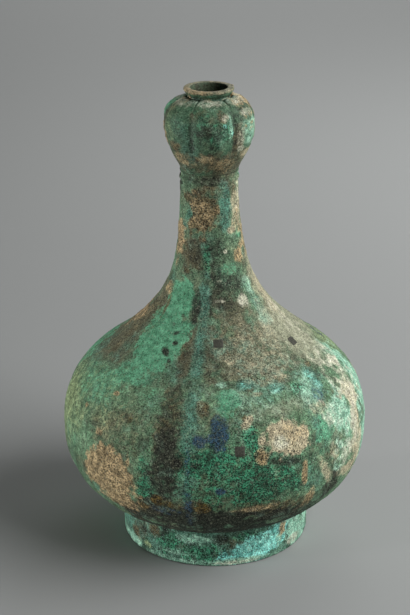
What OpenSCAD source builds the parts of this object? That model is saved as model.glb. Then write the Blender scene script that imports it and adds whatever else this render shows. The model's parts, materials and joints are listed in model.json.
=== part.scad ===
// Garlic head bottle of cast bronze: a round belly on a ring foot, a long neck and a six-lobed head.
// Millimetres, +Z up. The origin is the middle of the foot's ground face and the front faces -Y.

/* [Foot] */
// Outer radius of the foot ring
foot_r = 73.8; // [62:0.1:84]
// Height of the foot ring, from the ground to its seat under the belly
foot_h = 30.5; // [24:0.5:40]
// Thickness of the foot ring
foot_wall = 3.4; // [2.6:0.1:5]
// Bevel of the foot ring's ground edges
foot_bevel = 0.8; // [0.3:0.1:1.2]

/* [Floor plate] */
// How far the floor plate's edge stays inside the foot ring
floor_margin = 14; // [11:0.5:20]
// Width of the ledge that carries the floor plate
floor_ledge = 4; // [3:0.25:6]

/* [Belly] */
// Radius at the widest line of the belly
belly_r = 118.5; // [100:0.5:135]
// Height from the foot's seat to the widest line
belly_low_h = 66.5; // [55:0.5:80]
// Fullness of the belly below its widest line, where 2 is a plain ellipse
belly_low_fullness = 2.3; // [2:0.05:2.6]
// Height from the widest line to the root of the neck
shoulder_h = 57; // [48:0.5:66]
// Fullness of the shoulder, where 2 is a plain ellipse
shoulder_fullness = 2.25; // [2:0.05:2.5]

/* [Neck] */
// Radius where the shoulder turns into the neck
neck_root_r = 88.7; // [78:0.1:98]
// Radius of the neck at its top
neck_r = 22; // [18:0.1:26]
// Height of the neck, from its root to the band
neck_h = 133; // [115:0.5:150]
// Reach of the neck's flare along the shoulder's slope
neck_root_pull = 60; // [48:0.5:66]
// Length of the neck's slender stretch
neck_top_pull = 78; // [64:0.5:86]
// Height of the band between neck and head
band_h = 11; // [10:0.5:16]
// How far the band's raised fillet stands out from the neck
band_rise = 0.5; // [0.2:0.1:1.5]
// Height of that fillet
band_fillet_h = 3.2; // [2.4:0.1:3.8]
// Depth of the groove above the fillet and of the one below it
band_groove = 0.6; // [0.2:0.1:0.8]
// Height of each groove
band_groove_h = 2.6; // [1.8:0.1:3]

/* [Head] */
// Number of cloves
clove_count = 6; // [5:1:8]
// Radius of the head over the crests of the cloves
head_r = 34.6; // [30:0.1:40]
// Height from the band to the widest part of the head
head_low_h = 37; // [33:0.5:44]
// Height from the widest part to the top of the cloves
head_top_h = 17.5; // [14.5:0.5:21]
// How far each clove's own axis lies from the middle at the widest part
clove_offset = 14; // [11:0.25:15]
// Width of the groove's bottom between two cloves
groove_w = 1; // [0.6:0.1:1.6]
// Turn of the head, so that a clove faces a little right of the front
head_turn = 36; // [0:1:60]

/* [Mouth] */
// Radius of the mouth's bore
mouth_bore_r = 13.6; // [12:0.1:14.4]
// Outer radius of the collar under the lip
collar_r = 15.8; // [15.2:0.1:17]
// Outer radius of the lip
lip_r = 18.6; // [18.2:0.1:20]
// Height of the lip's top above the cloves
mouth_h = 7.5; // [6.5:0.25:9]
// Height of the lip's edge
lip_h = 1.6; // [1.2:0.1:2.4]
// Height over which the collar flares out to the lip
lip_flare_h = 4; // [2.5:0.1:4.5]
// Bevel of the lip's upper edge
lip_bevel = 0.6; // [0.3:0.1:1]
// Depth to which the collar is let into the head
collar_sink = 6; // [5:0.25:7]
// Length of the collar's spigot below that seat
collar_spigot_h = 4; // [3:0.25:6]
// Metal left in the head below the collar's seat
collar_seat_wall = 1.8; // [1.2:0.1:2.4]

/* [Casting] */
// Thickness of the cast wall
wall = 2.4; // [2:0.1:3]
// Overlap of one cast section with the next
lap = 7; // [5:0.5:9]
// Room left between a spigot or chaplet and its socket
fit_clear = 0.1; // [0.05:0.05:0.2]
// Side of a square casting chaplet
chaplet_w = 8; // [6:0.5:10]
// Chaplets in each ring around the walls
chaplet_count = 6; // [4:1:8]
// Height of the upper ring of chaplets above the neck's root
neck_chaplet_rise = 22; // [15:0.5:30]
// How far every second chaplet of that ring sits above this height, and the others below it
neck_chaplet_stagger = 4.5; // [0:0.5:6]
// Turn of the upper ring of chaplets
neck_chaplet_turn = 33.5; // [0:0.5:60]
// Height of the lower ring of chaplets above the widest line
belly_chaplet_rise = 23; // [16:0.5:32]
// Turn of the lower ring of chaplets
belly_chaplet_turn = 39; // [0:0.5:60]
// Chaplets in the floor plate
floor_chaplet_count = 4; // [3:1:6]
// Distance of the floor chaplets from the middle
floor_chaplet_r = 32; // [24:0.5:38]

/* [Hidden] */
$fn = 96;
// Straight steps in one curve of the wall, and in one of the head
curve_steps = 22;
head_steps = 11;
// Halvings in the search for the place on a curve that has a given height
search_steps = 30;
// Spare length by which a cut passes the metal
over = 1;
// Length of the prism that cuts a chaplet out of the bowed wall
chaplet_cut = wall + 4 * over;

// The three curves of the wall, from the floor to the band
LOW = 0;
SHOULDER = 1;
NECK = 2;

// Heights, stacked from the ground
belly_z = foot_h + belly_low_h;
root_z = belly_z + shoulder_h;
band_z = root_z + neck_h;
head_z = band_z + band_h;
head_mid_z = head_z + head_low_h;
head_top_z = head_mid_z + head_top_h;
lip_z = head_top_z + mouth_h;
collar_seat_z = head_top_z - collar_sink;
flare_z = lip_z - lip_h - lip_flare_h;

// The belly's half heights, so that its curve passes the foot's edge and the neck's root
low_rise = belly_low_h / pow(1 - pow(foot_r / belly_r, belly_low_fullness), 1 / belly_low_fullness);
shoulder_rise = shoulder_h / pow(1 - pow(neck_root_r / belly_r, shoulder_fullness), 1 / shoulder_fullness);

// The foot ring's inside and the floor plate
foot_in_r = foot_r - foot_wall;
floor_r = foot_in_r - floor_margin;
floor_ledge_r = floor_r + floor_ledge;
floor_z = low_height(floor_r);
floor_seat_z = low_height(floor_ledge_r) + wall / 2;
floor_top_z = floor_seat_z + wall / 2;

// Angles along the belly's curve at the floor plate's edge and at the neck's root
floor_angle = acos(pow(floor_r / belly_r, belly_low_fullness / 2));
root_angle = acos(pow(neck_root_r / belly_r, shoulder_fullness / 2));

// The neck's curve leaves the shoulder along the shoulder's own slope
root_normal = belly_normal(root_angle, shoulder_rise, shoulder_fullness);
neck_frame = [
    [neck_root_r, root_z],
    [neck_root_r, root_z] + neck_root_pull * [-root_normal[1], root_normal[0]],
    [neck_r, band_z - neck_top_pull],
    [neck_r, band_z]
];

// The socket in the neck's top and the head's spigot in it
socket_r = neck_r - wall / 2;
spigot_r = socket_r - fit_clear;
spigot_in_r = neck_r - wall;

// The bottom of the band's grooves, and the height over which their sides slope
band_groove_r = neck_r - band_groove;
band_slope = band_groove;

// The clove's axis leans outwards from the middle of the band's top
clove_lean = atan(clove_offset / head_low_h);
clove_half_angle = 180 / clove_count;
clove_r = head_r - clove_offset;
groove_r = clove_offset * cos(clove_half_angle)
    + sqrt(pow(clove_r, 2) - pow(clove_offset * sin(clove_half_angle), 2));
// Radius of the small flat in which each clove ends on its axis
clove_tip_r = 1;
// Where the head's curves have their middle control points, as shares of the curve that they bend
low_bend = [0.14, 0.46];
top_bend = 0.56;
head_cavity_r = groove_r - wall;
spigot_z = band_z - lap + fit_clear;
head_cavity_top_z = collar_seat_z - collar_seat_wall;
collar_spigot_r = (collar_r + mouth_bore_r) / 2;

// Height of the belly's outer face below its widest line, at a radius
function low_height(r) =
    belly_z - low_rise * pow(1 - pow(r / belly_r, belly_low_fullness), 1 / belly_low_fullness);

// Outward direction of the belly's face at an angle above or below its widest line
function belly_normal(angle, rise, fullness) =
    let (
        out = pow(cos(angle), 2 - 2 / fullness) / belly_r,
        up = sign(angle) * pow(abs(sin(angle)), 2 - 2 / fullness) / rise
    )
    [out, up] / norm([out, up]);

// Point of the belly's curve at that angle, sunk below the outer face by depth
function belly_point(angle, rise, fullness, depth) =
    [belly_r * pow(cos(angle), 2 / fullness),
        belly_z + rise * sign(angle) * pow(abs(sin(angle)), 2 / fullness)]
    - depth * belly_normal(angle, rise, fullness);

// Cubic curve through four control points, and its direction
function cubic(p, t) =
    pow(1 - t, 3) * p[0] + 3 * pow(1 - t, 2) * t * p[1] + 3 * (1 - t) * pow(t, 2) * p[2] + pow(t, 3) * p[3];
function cubic_slope(p, t) =
    pow(1 - t, 2) * (p[1] - p[0]) + 2 * (1 - t) * t * (p[2] - p[1]) + pow(t, 2) * (p[3] - p[2]);

// Point of the neck's curve, sunk below the outer face by depth
function neck_point(t, depth) =
    let (slope = cubic_slope(neck_frame, t))
    cubic(neck_frame, t) - depth * [slope[1], -slope[0]] / norm(slope);

// Point of one of the wall's curves, where s runs from 0 at its foot to 1 at its top
function wall_point(curve, s, depth) =
    curve == LOW ? belly_point(-floor_angle * (1 - s), low_rise, belly_low_fullness, depth)
    : curve == SHOULDER ? belly_point(root_angle * s, shoulder_rise, shoulder_fullness, depth)
    : neck_point(s, depth);

// Row of points along a stretch of a curve, in either direction
function skin(curve, from, to, depth) =
    [for (i = [0 : curve_steps]) wall_point(curve, from + (to - from) * i / curve_steps, depth)];

// Length of a curve, as a sum of its steps
function curve_length(points, i = 1) =
    i >= len(points) ? 0 : norm(points[i] - points[i - 1]) + curve_length(points, i + 1);

// Share of a curve that a stretch of a given length takes at its top
function share(curve, stretch) = stretch / curve_length(skin(curve, 0, 1, 0));

// Place on a curve that has a given height
function at_height(curve, z, low = 0, high = 1, left = search_steps) =
    let (middle = (low + high) / 2)
    left == 0 ? middle
    : wall_point(curve, middle, 0)[1] < z ? at_height(curve, z, middle, high, left - 1)
    : at_height(curve, z, low, middle, left - 1);

// Outline of one cast section: its outer face, the step that takes the next section's tongue, its inner face
function section(curve, step) = concat(
    skin(curve, 0, 1, 0),
    skin(curve, 1, 1 - step, wall / 2),
    skin(curve, 1 - step, 0, wall)
);

// Outline of the tongue that reaches down inside the section below, on that section's curve
function tongue(curve) =
    let (from = 1 - share(curve, lap - fit_clear))
    concat(skin(curve, 1, from, wall), skin(curve, from, 1, wall / 2 + fit_clear));

// Points of the clove's crest from the band to its top, as radius and height above the band
function crest() = concat(
    [for (i = [0 : head_steps]) cubic([
        [neck_r, 0],
        [neck_r, head_low_h * low_bend[0]],
        [head_r, head_low_h * low_bend[1]],
        [head_r, head_low_h]], i / head_steps)],
    [for (i = [1 : head_steps]) cubic([
        [head_r, head_low_h],
        [head_r, head_low_h + head_top_h * top_bend],
        [clove_top_r() + clove_r * top_bend * cos(clove_lean),
            head_low_h + head_top_h - clove_r * top_bend * sin(clove_lean)],
        [clove_top_r() + clove_tip_r * cos(clove_lean),
            head_low_h + head_top_h - clove_tip_r * sin(clove_lean)]], i / head_steps)]
);

// Radius at which the clove's leaning axis reaches the top
function clove_top_r() = (head_low_h + head_top_h) * tan(clove_lean);

// The same points seen along the clove's leaning axis, as radius and length on that axis
function leaning(p) =
    [p[0] * cos(clove_lean) - p[1] * sin(clove_lean), p[0] * sin(clove_lean) + p[1] * cos(clove_lean)];
function clove_outline() = [for (p = concat([[neck_r, -over / 2]], crest())) leaning(p)];

// How far the groove's plane cuts into the turned form at a point of its outline; below zero it misses
function groove_depth(p) =
    pow(p[1] * cos(clove_half_angle) * sin(clove_lean) / pow(cos(clove_lean), 2), 2)
    - groove_spread() * (pow(p[1] * tan(clove_lean), 2) - pow(p[0], 2));
function groove_spread() = 1 + pow(cos(clove_half_angle) * tan(clove_lean), 2);

// Where the groove between two cloves meets a point of the outline, as radius and height
function groove_radius(p) =
    (p[1] * cos(clove_half_angle) * sin(clove_lean) / pow(cos(clove_lean), 2) + sqrt(groove_depth(p)))
    / groove_spread();
function groove_point(p) = [groove_radius(p),
    (p[1] - groove_radius(p) * cos(clove_half_angle) * sin(clove_lean)) / cos(clove_lean)];

// Outline of the head's hollow, from its spigot's end to its crown
function head_hollow() = concat(
    [[0, band_z - lap - over], [spigot_in_r, band_z - lap - over]],
    [for (i = [0 : head_steps]) cubic([
        [spigot_in_r, head_z],
        [spigot_in_r, head_z + head_low_h * low_bend[0]],
        [head_cavity_r, head_z + head_low_h * low_bend[1]],
        [head_cavity_r, head_mid_z]], i / head_steps)],
    [for (i = [1 : head_steps]) cubic([
        [head_cavity_r, head_mid_z],
        [head_cavity_r, head_mid_z + (head_cavity_top_z - head_mid_z) * top_bend],
        [head_cavity_r - (head_cavity_r - collar_r) * top_bend, head_cavity_top_z],
        [collar_r, head_cavity_top_z]], i / head_steps)],
    [[0, head_cavity_top_z]]
);

// Square prism through the wall at a place on one of its curves
module chaplet_prism(curve, height, turn, side) {
    s = at_height(curve, height);
    foot = wall_point(curve, s, wall / 2);
    out = wall_point(curve, s, 0) - foot;
    rotate([0, 0, turn])
        translate([foot[0], 0, foot[1]])
            rotate([0, -atan2(out[1], out[0]), 0])
                cube([chaplet_cut, side, side], center = true);
}

// Ring of such prisms, which sit higher and lower by turns
module chaplet_ring(curve, height, stagger, turn, side) {
    for (i = [0 : chaplet_count - 1])
        chaplet_prism(curve, height + stagger * (1 - 2 * (i % 2)), turn + i * 360 / chaplet_count, side);
}

// Square posts on a circle, through the floor plate and past both its faces by spare
module floor_posts(side, spare) {
    for (i = [0 : floor_chaplet_count - 1])
        rotate([0, 0, (i + 0.5) * 360 / floor_chaplet_count])
            translate([floor_chaplet_r - side / 2, -side / 2, floor_z - spare])
                cube([side, side, floor_top_z - floor_z + 2 * spare]);
}

// Ring that carries the bottle, seated in a step under the belly
module foot_ring() {
    color("#5fae97")
        rotate_extrude()
            polygon([
                [foot_in_r, foot_h], [foot_in_r, foot_bevel], [foot_in_r + foot_bevel, 0],
                [foot_r - foot_bevel, 0], [foot_r, foot_bevel], [foot_r, foot_h]]);
}

// Plate that closes the belly's underside, dropped onto a ledge from inside
module floor_plate() {
    color("#4c5a48")
        difference() {
            union() {
                translate([0, 0, floor_z])
                    cylinder(r = floor_r - fit_clear, h = floor_seat_z - floor_z);
                translate([0, 0, floor_seat_z])
                    cylinder(r = floor_ledge_r - fit_clear, h = floor_top_z - floor_seat_z);
            }
            floor_posts(chaplet_w + 2 * fit_clear, over);
        }
}

// Square spacers left in the floor plate by its casting
module floor_chaplets() {
    color("#4a3a30")
        floor_posts(chaplet_w, 0);
}

// Lower half of the belly, up to the widest line
module lower_belly() {
    color("#2f7a5c")
        difference() {
            rotate_extrude()
                polygon(section(LOW, share(LOW, lap)));
            // Step for the foot ring
            difference() {
                translate([0, 0, -over])
                    cylinder(r = belly_r, h = foot_h + over);
                translate([0, 0, -2 * over])
                    cylinder(r = foot_in_r - fit_clear, h = foot_h + 3 * over);
            }
            // Hole and ledge for the floor plate
            cylinder(r = floor_r, h = belly_z);
            translate([0, 0, floor_seat_z])
                cylinder(r = floor_ledge_r, h = belly_low_h);
        }
}

// Upper part of the belly, from the widest line to the neck's root
module shoulder_shell() {
    rotate_extrude()
        polygon(concat(section(SHOULDER, share(SHOULDER, lap)), tongue(LOW)));
}
module shoulder() {
    color("#55805c")
        difference() {
            shoulder_shell();
            chaplet_ring(SHOULDER, belly_z + belly_chaplet_rise, 0, belly_chaplet_turn,
                chaplet_w + 2 * fit_clear);
        }
}

// Square spacers left in the shoulder's wall by its casting
module belly_chaplets() {
    color("#5a4034")
        intersection() {
            shoulder_shell();
            chaplet_ring(SHOULDER, belly_z + belly_chaplet_rise, 0, belly_chaplet_turn, chaplet_w);
        }
}

// Neck with its flare, from its root to the band
module neck_shell() {
    rotate_extrude()
        polygon(concat(skin(NECK, 0, 1, 0), skin(NECK, 1, 0, wall), tongue(SHOULDER)));
}
module neck() {
    color("#4f6b52")
        difference() {
            neck_shell();
            // Socket for the head's spigot
            translate([0, 0, band_z - lap])
                cylinder(r = socket_r, h = lap + over);
            chaplet_ring(NECK, root_z + neck_chaplet_rise, neck_chaplet_stagger, neck_chaplet_turn,
                chaplet_w + 2 * fit_clear);
        }
}

// Square spacers left in the neck's flare by its casting
module neck_chaplets() {
    color("#3a3432")
        intersection() {
            neck_shell();
            chaplet_ring(NECK, root_z + neck_chaplet_rise, neck_chaplet_stagger, neck_chaplet_turn,
                chaplet_w);
        }
}

// Upper half of the band's face from the middle of its fillet, as radius and height
function band_face() = [
    [neck_r + band_rise, band_fillet_h / 2 - band_slope],
    [band_groove_r, band_fillet_h / 2],
    [band_groove_r, band_fillet_h / 2 + band_groove_h - band_slope],
    [neck_r, band_fillet_h / 2 + band_groove_h],
    [neck_r, band_h / 2]
];

// Ring with a raised fillet between two grooves, held between the neck and the head
module neck_band() {
    face = band_face();
    color("#3d5b4c")
        translate([0, 0, band_z + band_h / 2])
            rotate_extrude()
                polygon(concat(
                    [[socket_r, -band_h / 2]],
                    [for (i = [len(face) - 1 : -1 : 0]) [face[i][0], -face[i][1]]],
                    face,
                    [[socket_r, band_h / 2]]));
}

// One clove: a form turned on its own leaning axis, cut to its share of the circle
module clove() {
    outline = clove_outline();
    reach = 2 * head_r;
    intersection() {
        translate([0, 0, head_z])
            rotate([0, clove_lean, 0])
                rotate_extrude()
                    polygon(concat(outline, [[0, outline[len(outline) - 1][1]], [0, 0], [outline[0][0], 0]]));
        translate([groove_w / (2 * sin(clove_half_angle)), 0, head_z])
            linear_extrude(height = head_top_z)
                polygon([[0, 0],
                    [reach * cos(clove_half_angle), -reach * sin(clove_half_angle)],
                    [reach * cos(clove_half_angle), reach * sin(clove_half_angle)]]);
    }
}

// Web between two cloves, whose edge is the bottom of their groove
module groove_web() {
    edge = [for (p = clove_outline()) if (groove_depth(p) >= 0) groove_point(p)];
    near = mouth_bore_r / 2;
    translate([0, 0, head_z])
        rotate([90, 0, 0])
            linear_extrude(height = wall, center = true)
                polygon(concat([[near, edge[0][1]]], edge, [[near, edge[len(edge) - 1][1]]]));
}

// Lobed head with its spigot below and its seat for the collar above
module garlic_head() {
    color("#2f7457")
        difference() {
            union() {
                for (i = [0 : clove_count - 1])
                    rotate([0, 0, head_turn + i * 360 / clove_count])
                        clove();
                for (i = [0 : clove_count - 1])
                    rotate([0, 0, head_turn + (i + 0.5) * 360 / clove_count])
                        groove_web();
                translate([0, 0, spigot_z])
                    cylinder(r = spigot_r, h = head_z + over - spigot_z);
            }
            rotate_extrude()
                polygon(head_hollow());
            translate([0, 0, collar_seat_z])
                cylinder(r = collar_r + fit_clear, h = head_top_h);
            translate([0, 0, flare_z - fit_clear])
                cylinder(r1 = collar_r + fit_clear, r2 = lip_r + fit_clear, h = lip_flare_h);
            translate([0, 0, head_mid_z])
                cylinder(r = collar_spigot_r + fit_clear, h = head_top_h);
        }
}

// Short collar with a rolled lip, let into the top of the head
module mouth_rim() {
    color("#6f7f5c")
        difference() {
            rotate_extrude()
                polygon([
                    [0, collar_seat_z - collar_spigot_h], [collar_spigot_r, collar_seat_z - collar_spigot_h],
                    [collar_spigot_r, collar_seat_z], [collar_r, collar_seat_z],
                    [collar_r, flare_z], [lip_r, lip_z - lip_h],
                    [lip_r, lip_z - lip_bevel], [lip_r - lip_bevel, lip_z], [0, lip_z]]);
            translate([0, 0, collar_seat_z - collar_spigot_h - over])
                cylinder(r = mouth_bore_r, h = lip_z);
        }
}

foot_ring();
floor_plate();
floor_chaplets();
lower_belly();
shoulder();
belly_chaplets();
neck();
neck_chaplets();
neck_band();
garlic_head();
mouth_rim();
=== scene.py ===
"""Dresses the cast bronze garlic head bottle: crusted castings, core spacers, loose soil grains and the studio.

Lengths are in millimetres and angles in degrees where nothing else is said.
"""

import json
import logging
import math
from dataclasses import dataclass
from enum import Enum
from functools import cache, partial

import bpy
import numpy as np
from bpy.types import Camera, Light, Material, Mesh, Node, NodeOutputs, NodeSocket, NodeTree, Object
from mathutils import Matrix, Vector
from mathutils.bvhtree import BVHTree


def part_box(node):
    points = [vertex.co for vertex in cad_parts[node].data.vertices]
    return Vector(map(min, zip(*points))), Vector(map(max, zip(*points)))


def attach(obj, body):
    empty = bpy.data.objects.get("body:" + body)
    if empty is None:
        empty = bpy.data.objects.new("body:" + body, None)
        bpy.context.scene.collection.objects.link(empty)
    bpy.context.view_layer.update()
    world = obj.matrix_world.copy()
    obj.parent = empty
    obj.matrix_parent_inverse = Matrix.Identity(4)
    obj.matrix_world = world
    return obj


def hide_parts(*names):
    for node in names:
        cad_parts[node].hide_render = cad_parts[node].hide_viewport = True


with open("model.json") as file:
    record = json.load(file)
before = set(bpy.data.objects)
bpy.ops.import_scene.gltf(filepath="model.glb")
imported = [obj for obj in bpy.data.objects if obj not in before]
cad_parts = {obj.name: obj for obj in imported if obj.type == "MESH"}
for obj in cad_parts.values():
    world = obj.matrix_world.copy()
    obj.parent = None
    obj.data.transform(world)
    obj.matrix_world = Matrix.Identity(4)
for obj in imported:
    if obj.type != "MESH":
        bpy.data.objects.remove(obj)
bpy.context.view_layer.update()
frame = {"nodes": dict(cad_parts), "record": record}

MM = 0.001
PHOTO_HEIGHT_PX = 615
BODY = "root"
# Angles of the spacers that the crust has grown over
COVERED_SPACERS = (-56.5, -51.5, 68.5)
LOG = logging.getLogger("bottle")
Place = tuple[float, float, float]


def linear(colour: str) -> tuple[float, float, float, float]:
    """Turn an sRGB hex colour into linear light.

    Args:
        colour: Colour as #rrggbb.

    Returns:
        Linear red, green, blue and an alpha of one.
    """
    shares = [int(colour[i:i + 2], 16) / 255 for i in (1, 3, 5)]
    light = [s / 12.92 if s <= 0.04045 else ((s + 0.055) / 1.055) ** 2.4 for s in shares]
    return (light[0], light[1], light[2], 1.0)


def add_node(tree: NodeTree, kind: str, inputs: dict | None = None, **settings: object) -> Node:
    """Add a node with its settings, and link or set its inputs.

    Args:
        tree: Node tree that takes the node.
        kind: Type name of the node.
        inputs: Socket name or number, with a value, the output socket that feeds it, or the node whose first live
            output feeds it.
        **settings: Properties of the node itself.

    Returns:
        The new node.
    """
    node = tree.nodes.new(kind)
    for name, value in settings.items():
        setattr(node, name, value)
    for key, value in (inputs or {}).items():
        if isinstance(value, Node):
            value = next(socket for socket in value.outputs if socket.enabled)
        if isinstance(value, NodeSocket):
            tree.links.new(value, node.inputs[key])
        else:
            node.inputs[key].default_value = value
    return node


def smooth_step(low: float, high: float, value: np.ndarray) -> np.ndarray:
    """Ramp smoothly from 0 at low to 1 at high, where low may be the larger of the two."""
    share = np.clip((value - low) / (high - low), 0.0, 1.0)
    return share * share * (3.0 - 2.0 * share)


def angles_of(points: np.ndarray) -> np.ndarray:
    """Angle of each place, from the front towards the right side."""
    return np.degrees(np.arctan2(points[:, 0], -points[:, 1]))


def wrapped(angle: np.ndarray | float) -> np.ndarray | float:
    """The same angle between -180 and 180 degrees."""
    return (angle + 180.0) % 360.0 - 180.0


class LatticeNoise:
    """Seeded smooth noise in space, about -1 to 1."""

    CELLS = 256
    GAIN = 1.6

    def __init__(self, seed: int) -> None:
        """Draw the lattice's order and its slopes.

        Args:
            seed: Seed of the draw.
        """
        draw = np.random.default_rng(seed)
        order = draw.permutation(self.CELLS)
        self.order = np.concatenate([order, order, order])
        slopes = draw.normal(size=(self.CELLS, 3))
        self.slopes = slopes / np.linalg.norm(slopes, axis=1, keepdims=True)

    def at(self, points: np.ndarray, size: float) -> np.ndarray:
        """Read the noise.

        Args:
            points: Places, one row each.
            size: Width of one bump.

        Returns:
            One value for each place.
        """
        scaled = points / size
        cell = np.floor(scaled).astype(np.int64)
        inside = scaled - cell
        cell &= self.CELLS - 1
        ease = inside ** 3 * (inside * (inside * 6 - 15) + 10)
        total = np.zeros(len(points))
        for corner in range(8):
            step = np.array([corner & 1, corner >> 1 & 1, corner >> 2 & 1])
            key = self.order[self.order[self.order[cell[:, 0] + step[0]] + cell[:, 1] + step[1]] + cell[:, 2] + step[2]]
            weight = np.prod(np.where(step == 1, ease, 1 - ease), axis=1)
            total += weight * np.einsum("ij,ij->i", self.slopes[key], inside - step)
        return total * self.GAIN


@dataclass(frozen=True)
class MineralTone:
    """Two colours that a mineral mixes, how ragged and how soft its edge is, and how much it stands in grains.

    Grit below nought is rubbed smoother than the bare crust.
    """

    main: str
    other: str
    ragged: float
    soft: float
    grit: float


class Mineral(Enum):
    """What lies on the bronze, from the lowest layer to the top one."""

    OLIVE = MineralTone("#6b6a53", "#53523f", 0.6, 0.5, 0.1)
    MOSS = MineralTone("#8b9c72", "#70845c", 0.6, 0.5, 0.1)
    TEAL = MineralTone("#578875", "#44705f", 0.6, 0.5, 0.15)
    BRIGHT = MineralTone("#68ab86", "#4a8866", 0.45, 0.4, -0.26)
    EMERALD = MineralTone("#378563", "#1f5a42", 0.6, 0.5, 1.2)
    BROWN = MineralTone("#645a3e", "#463e2a", 0.7, 0.5, 0.5)
    DARK = MineralTone("#20241d", "#2f342a", 0.7, 0.5, 0.5)
    TURQUOISE = MineralTone("#90e2d6", "#66bbad", 0.6, 0.45, 0.0)
    MINT = MineralTone("#a0cbb2", "#7fb59b", 0.5, 0.45, -0.14)
    AZURITE = MineralTone("#2c4c62", "#263c4a", 0.7, 0.45, 0.3)
    OCHRE = MineralTone("#5a4a22", "#413719", 0.6, 0.45, 0.4)
    LOAM = MineralTone("#9b9d84", "#8c8e76", 0.2, 0.6, -0.24)
    SILT = MineralTone("#c2b697", "#a69c80", 0.4, 0.5, -0.05)
    EARTH = MineralTone("#a9946f", "#887656", 0.5, 0.45, 0.4)
    SCALE = MineralTone("#cfccb6", "#b4b89f", 0.5, 0.5, -0.1)

    @property
    def attribute(self) -> str:
        """Name of the mesh attribute that holds the mineral's cover."""
        return f"crust_{self.name.lower()}"


@dataclass(frozen=True)
class Patch:
    """A patch of one mineral, placed on the skin.

    The angle runs from the front towards the right side, the height is over the ground, and wide and tall are half
    sizes along the skin. Cover is how densely the mineral lies, soft is how gradually it ends, fray is how broken its
    edge is, turn is its slant and rise is how far it stands proud.
    """

    mineral: Mineral
    angle: float
    height: float
    wide: float
    tall: float
    cover: float = 1.0
    soft: float = 0.5
    fray: float = 1.0
    turn: float = 0.0
    rise: float = 0.0


M = Mineral
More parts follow.
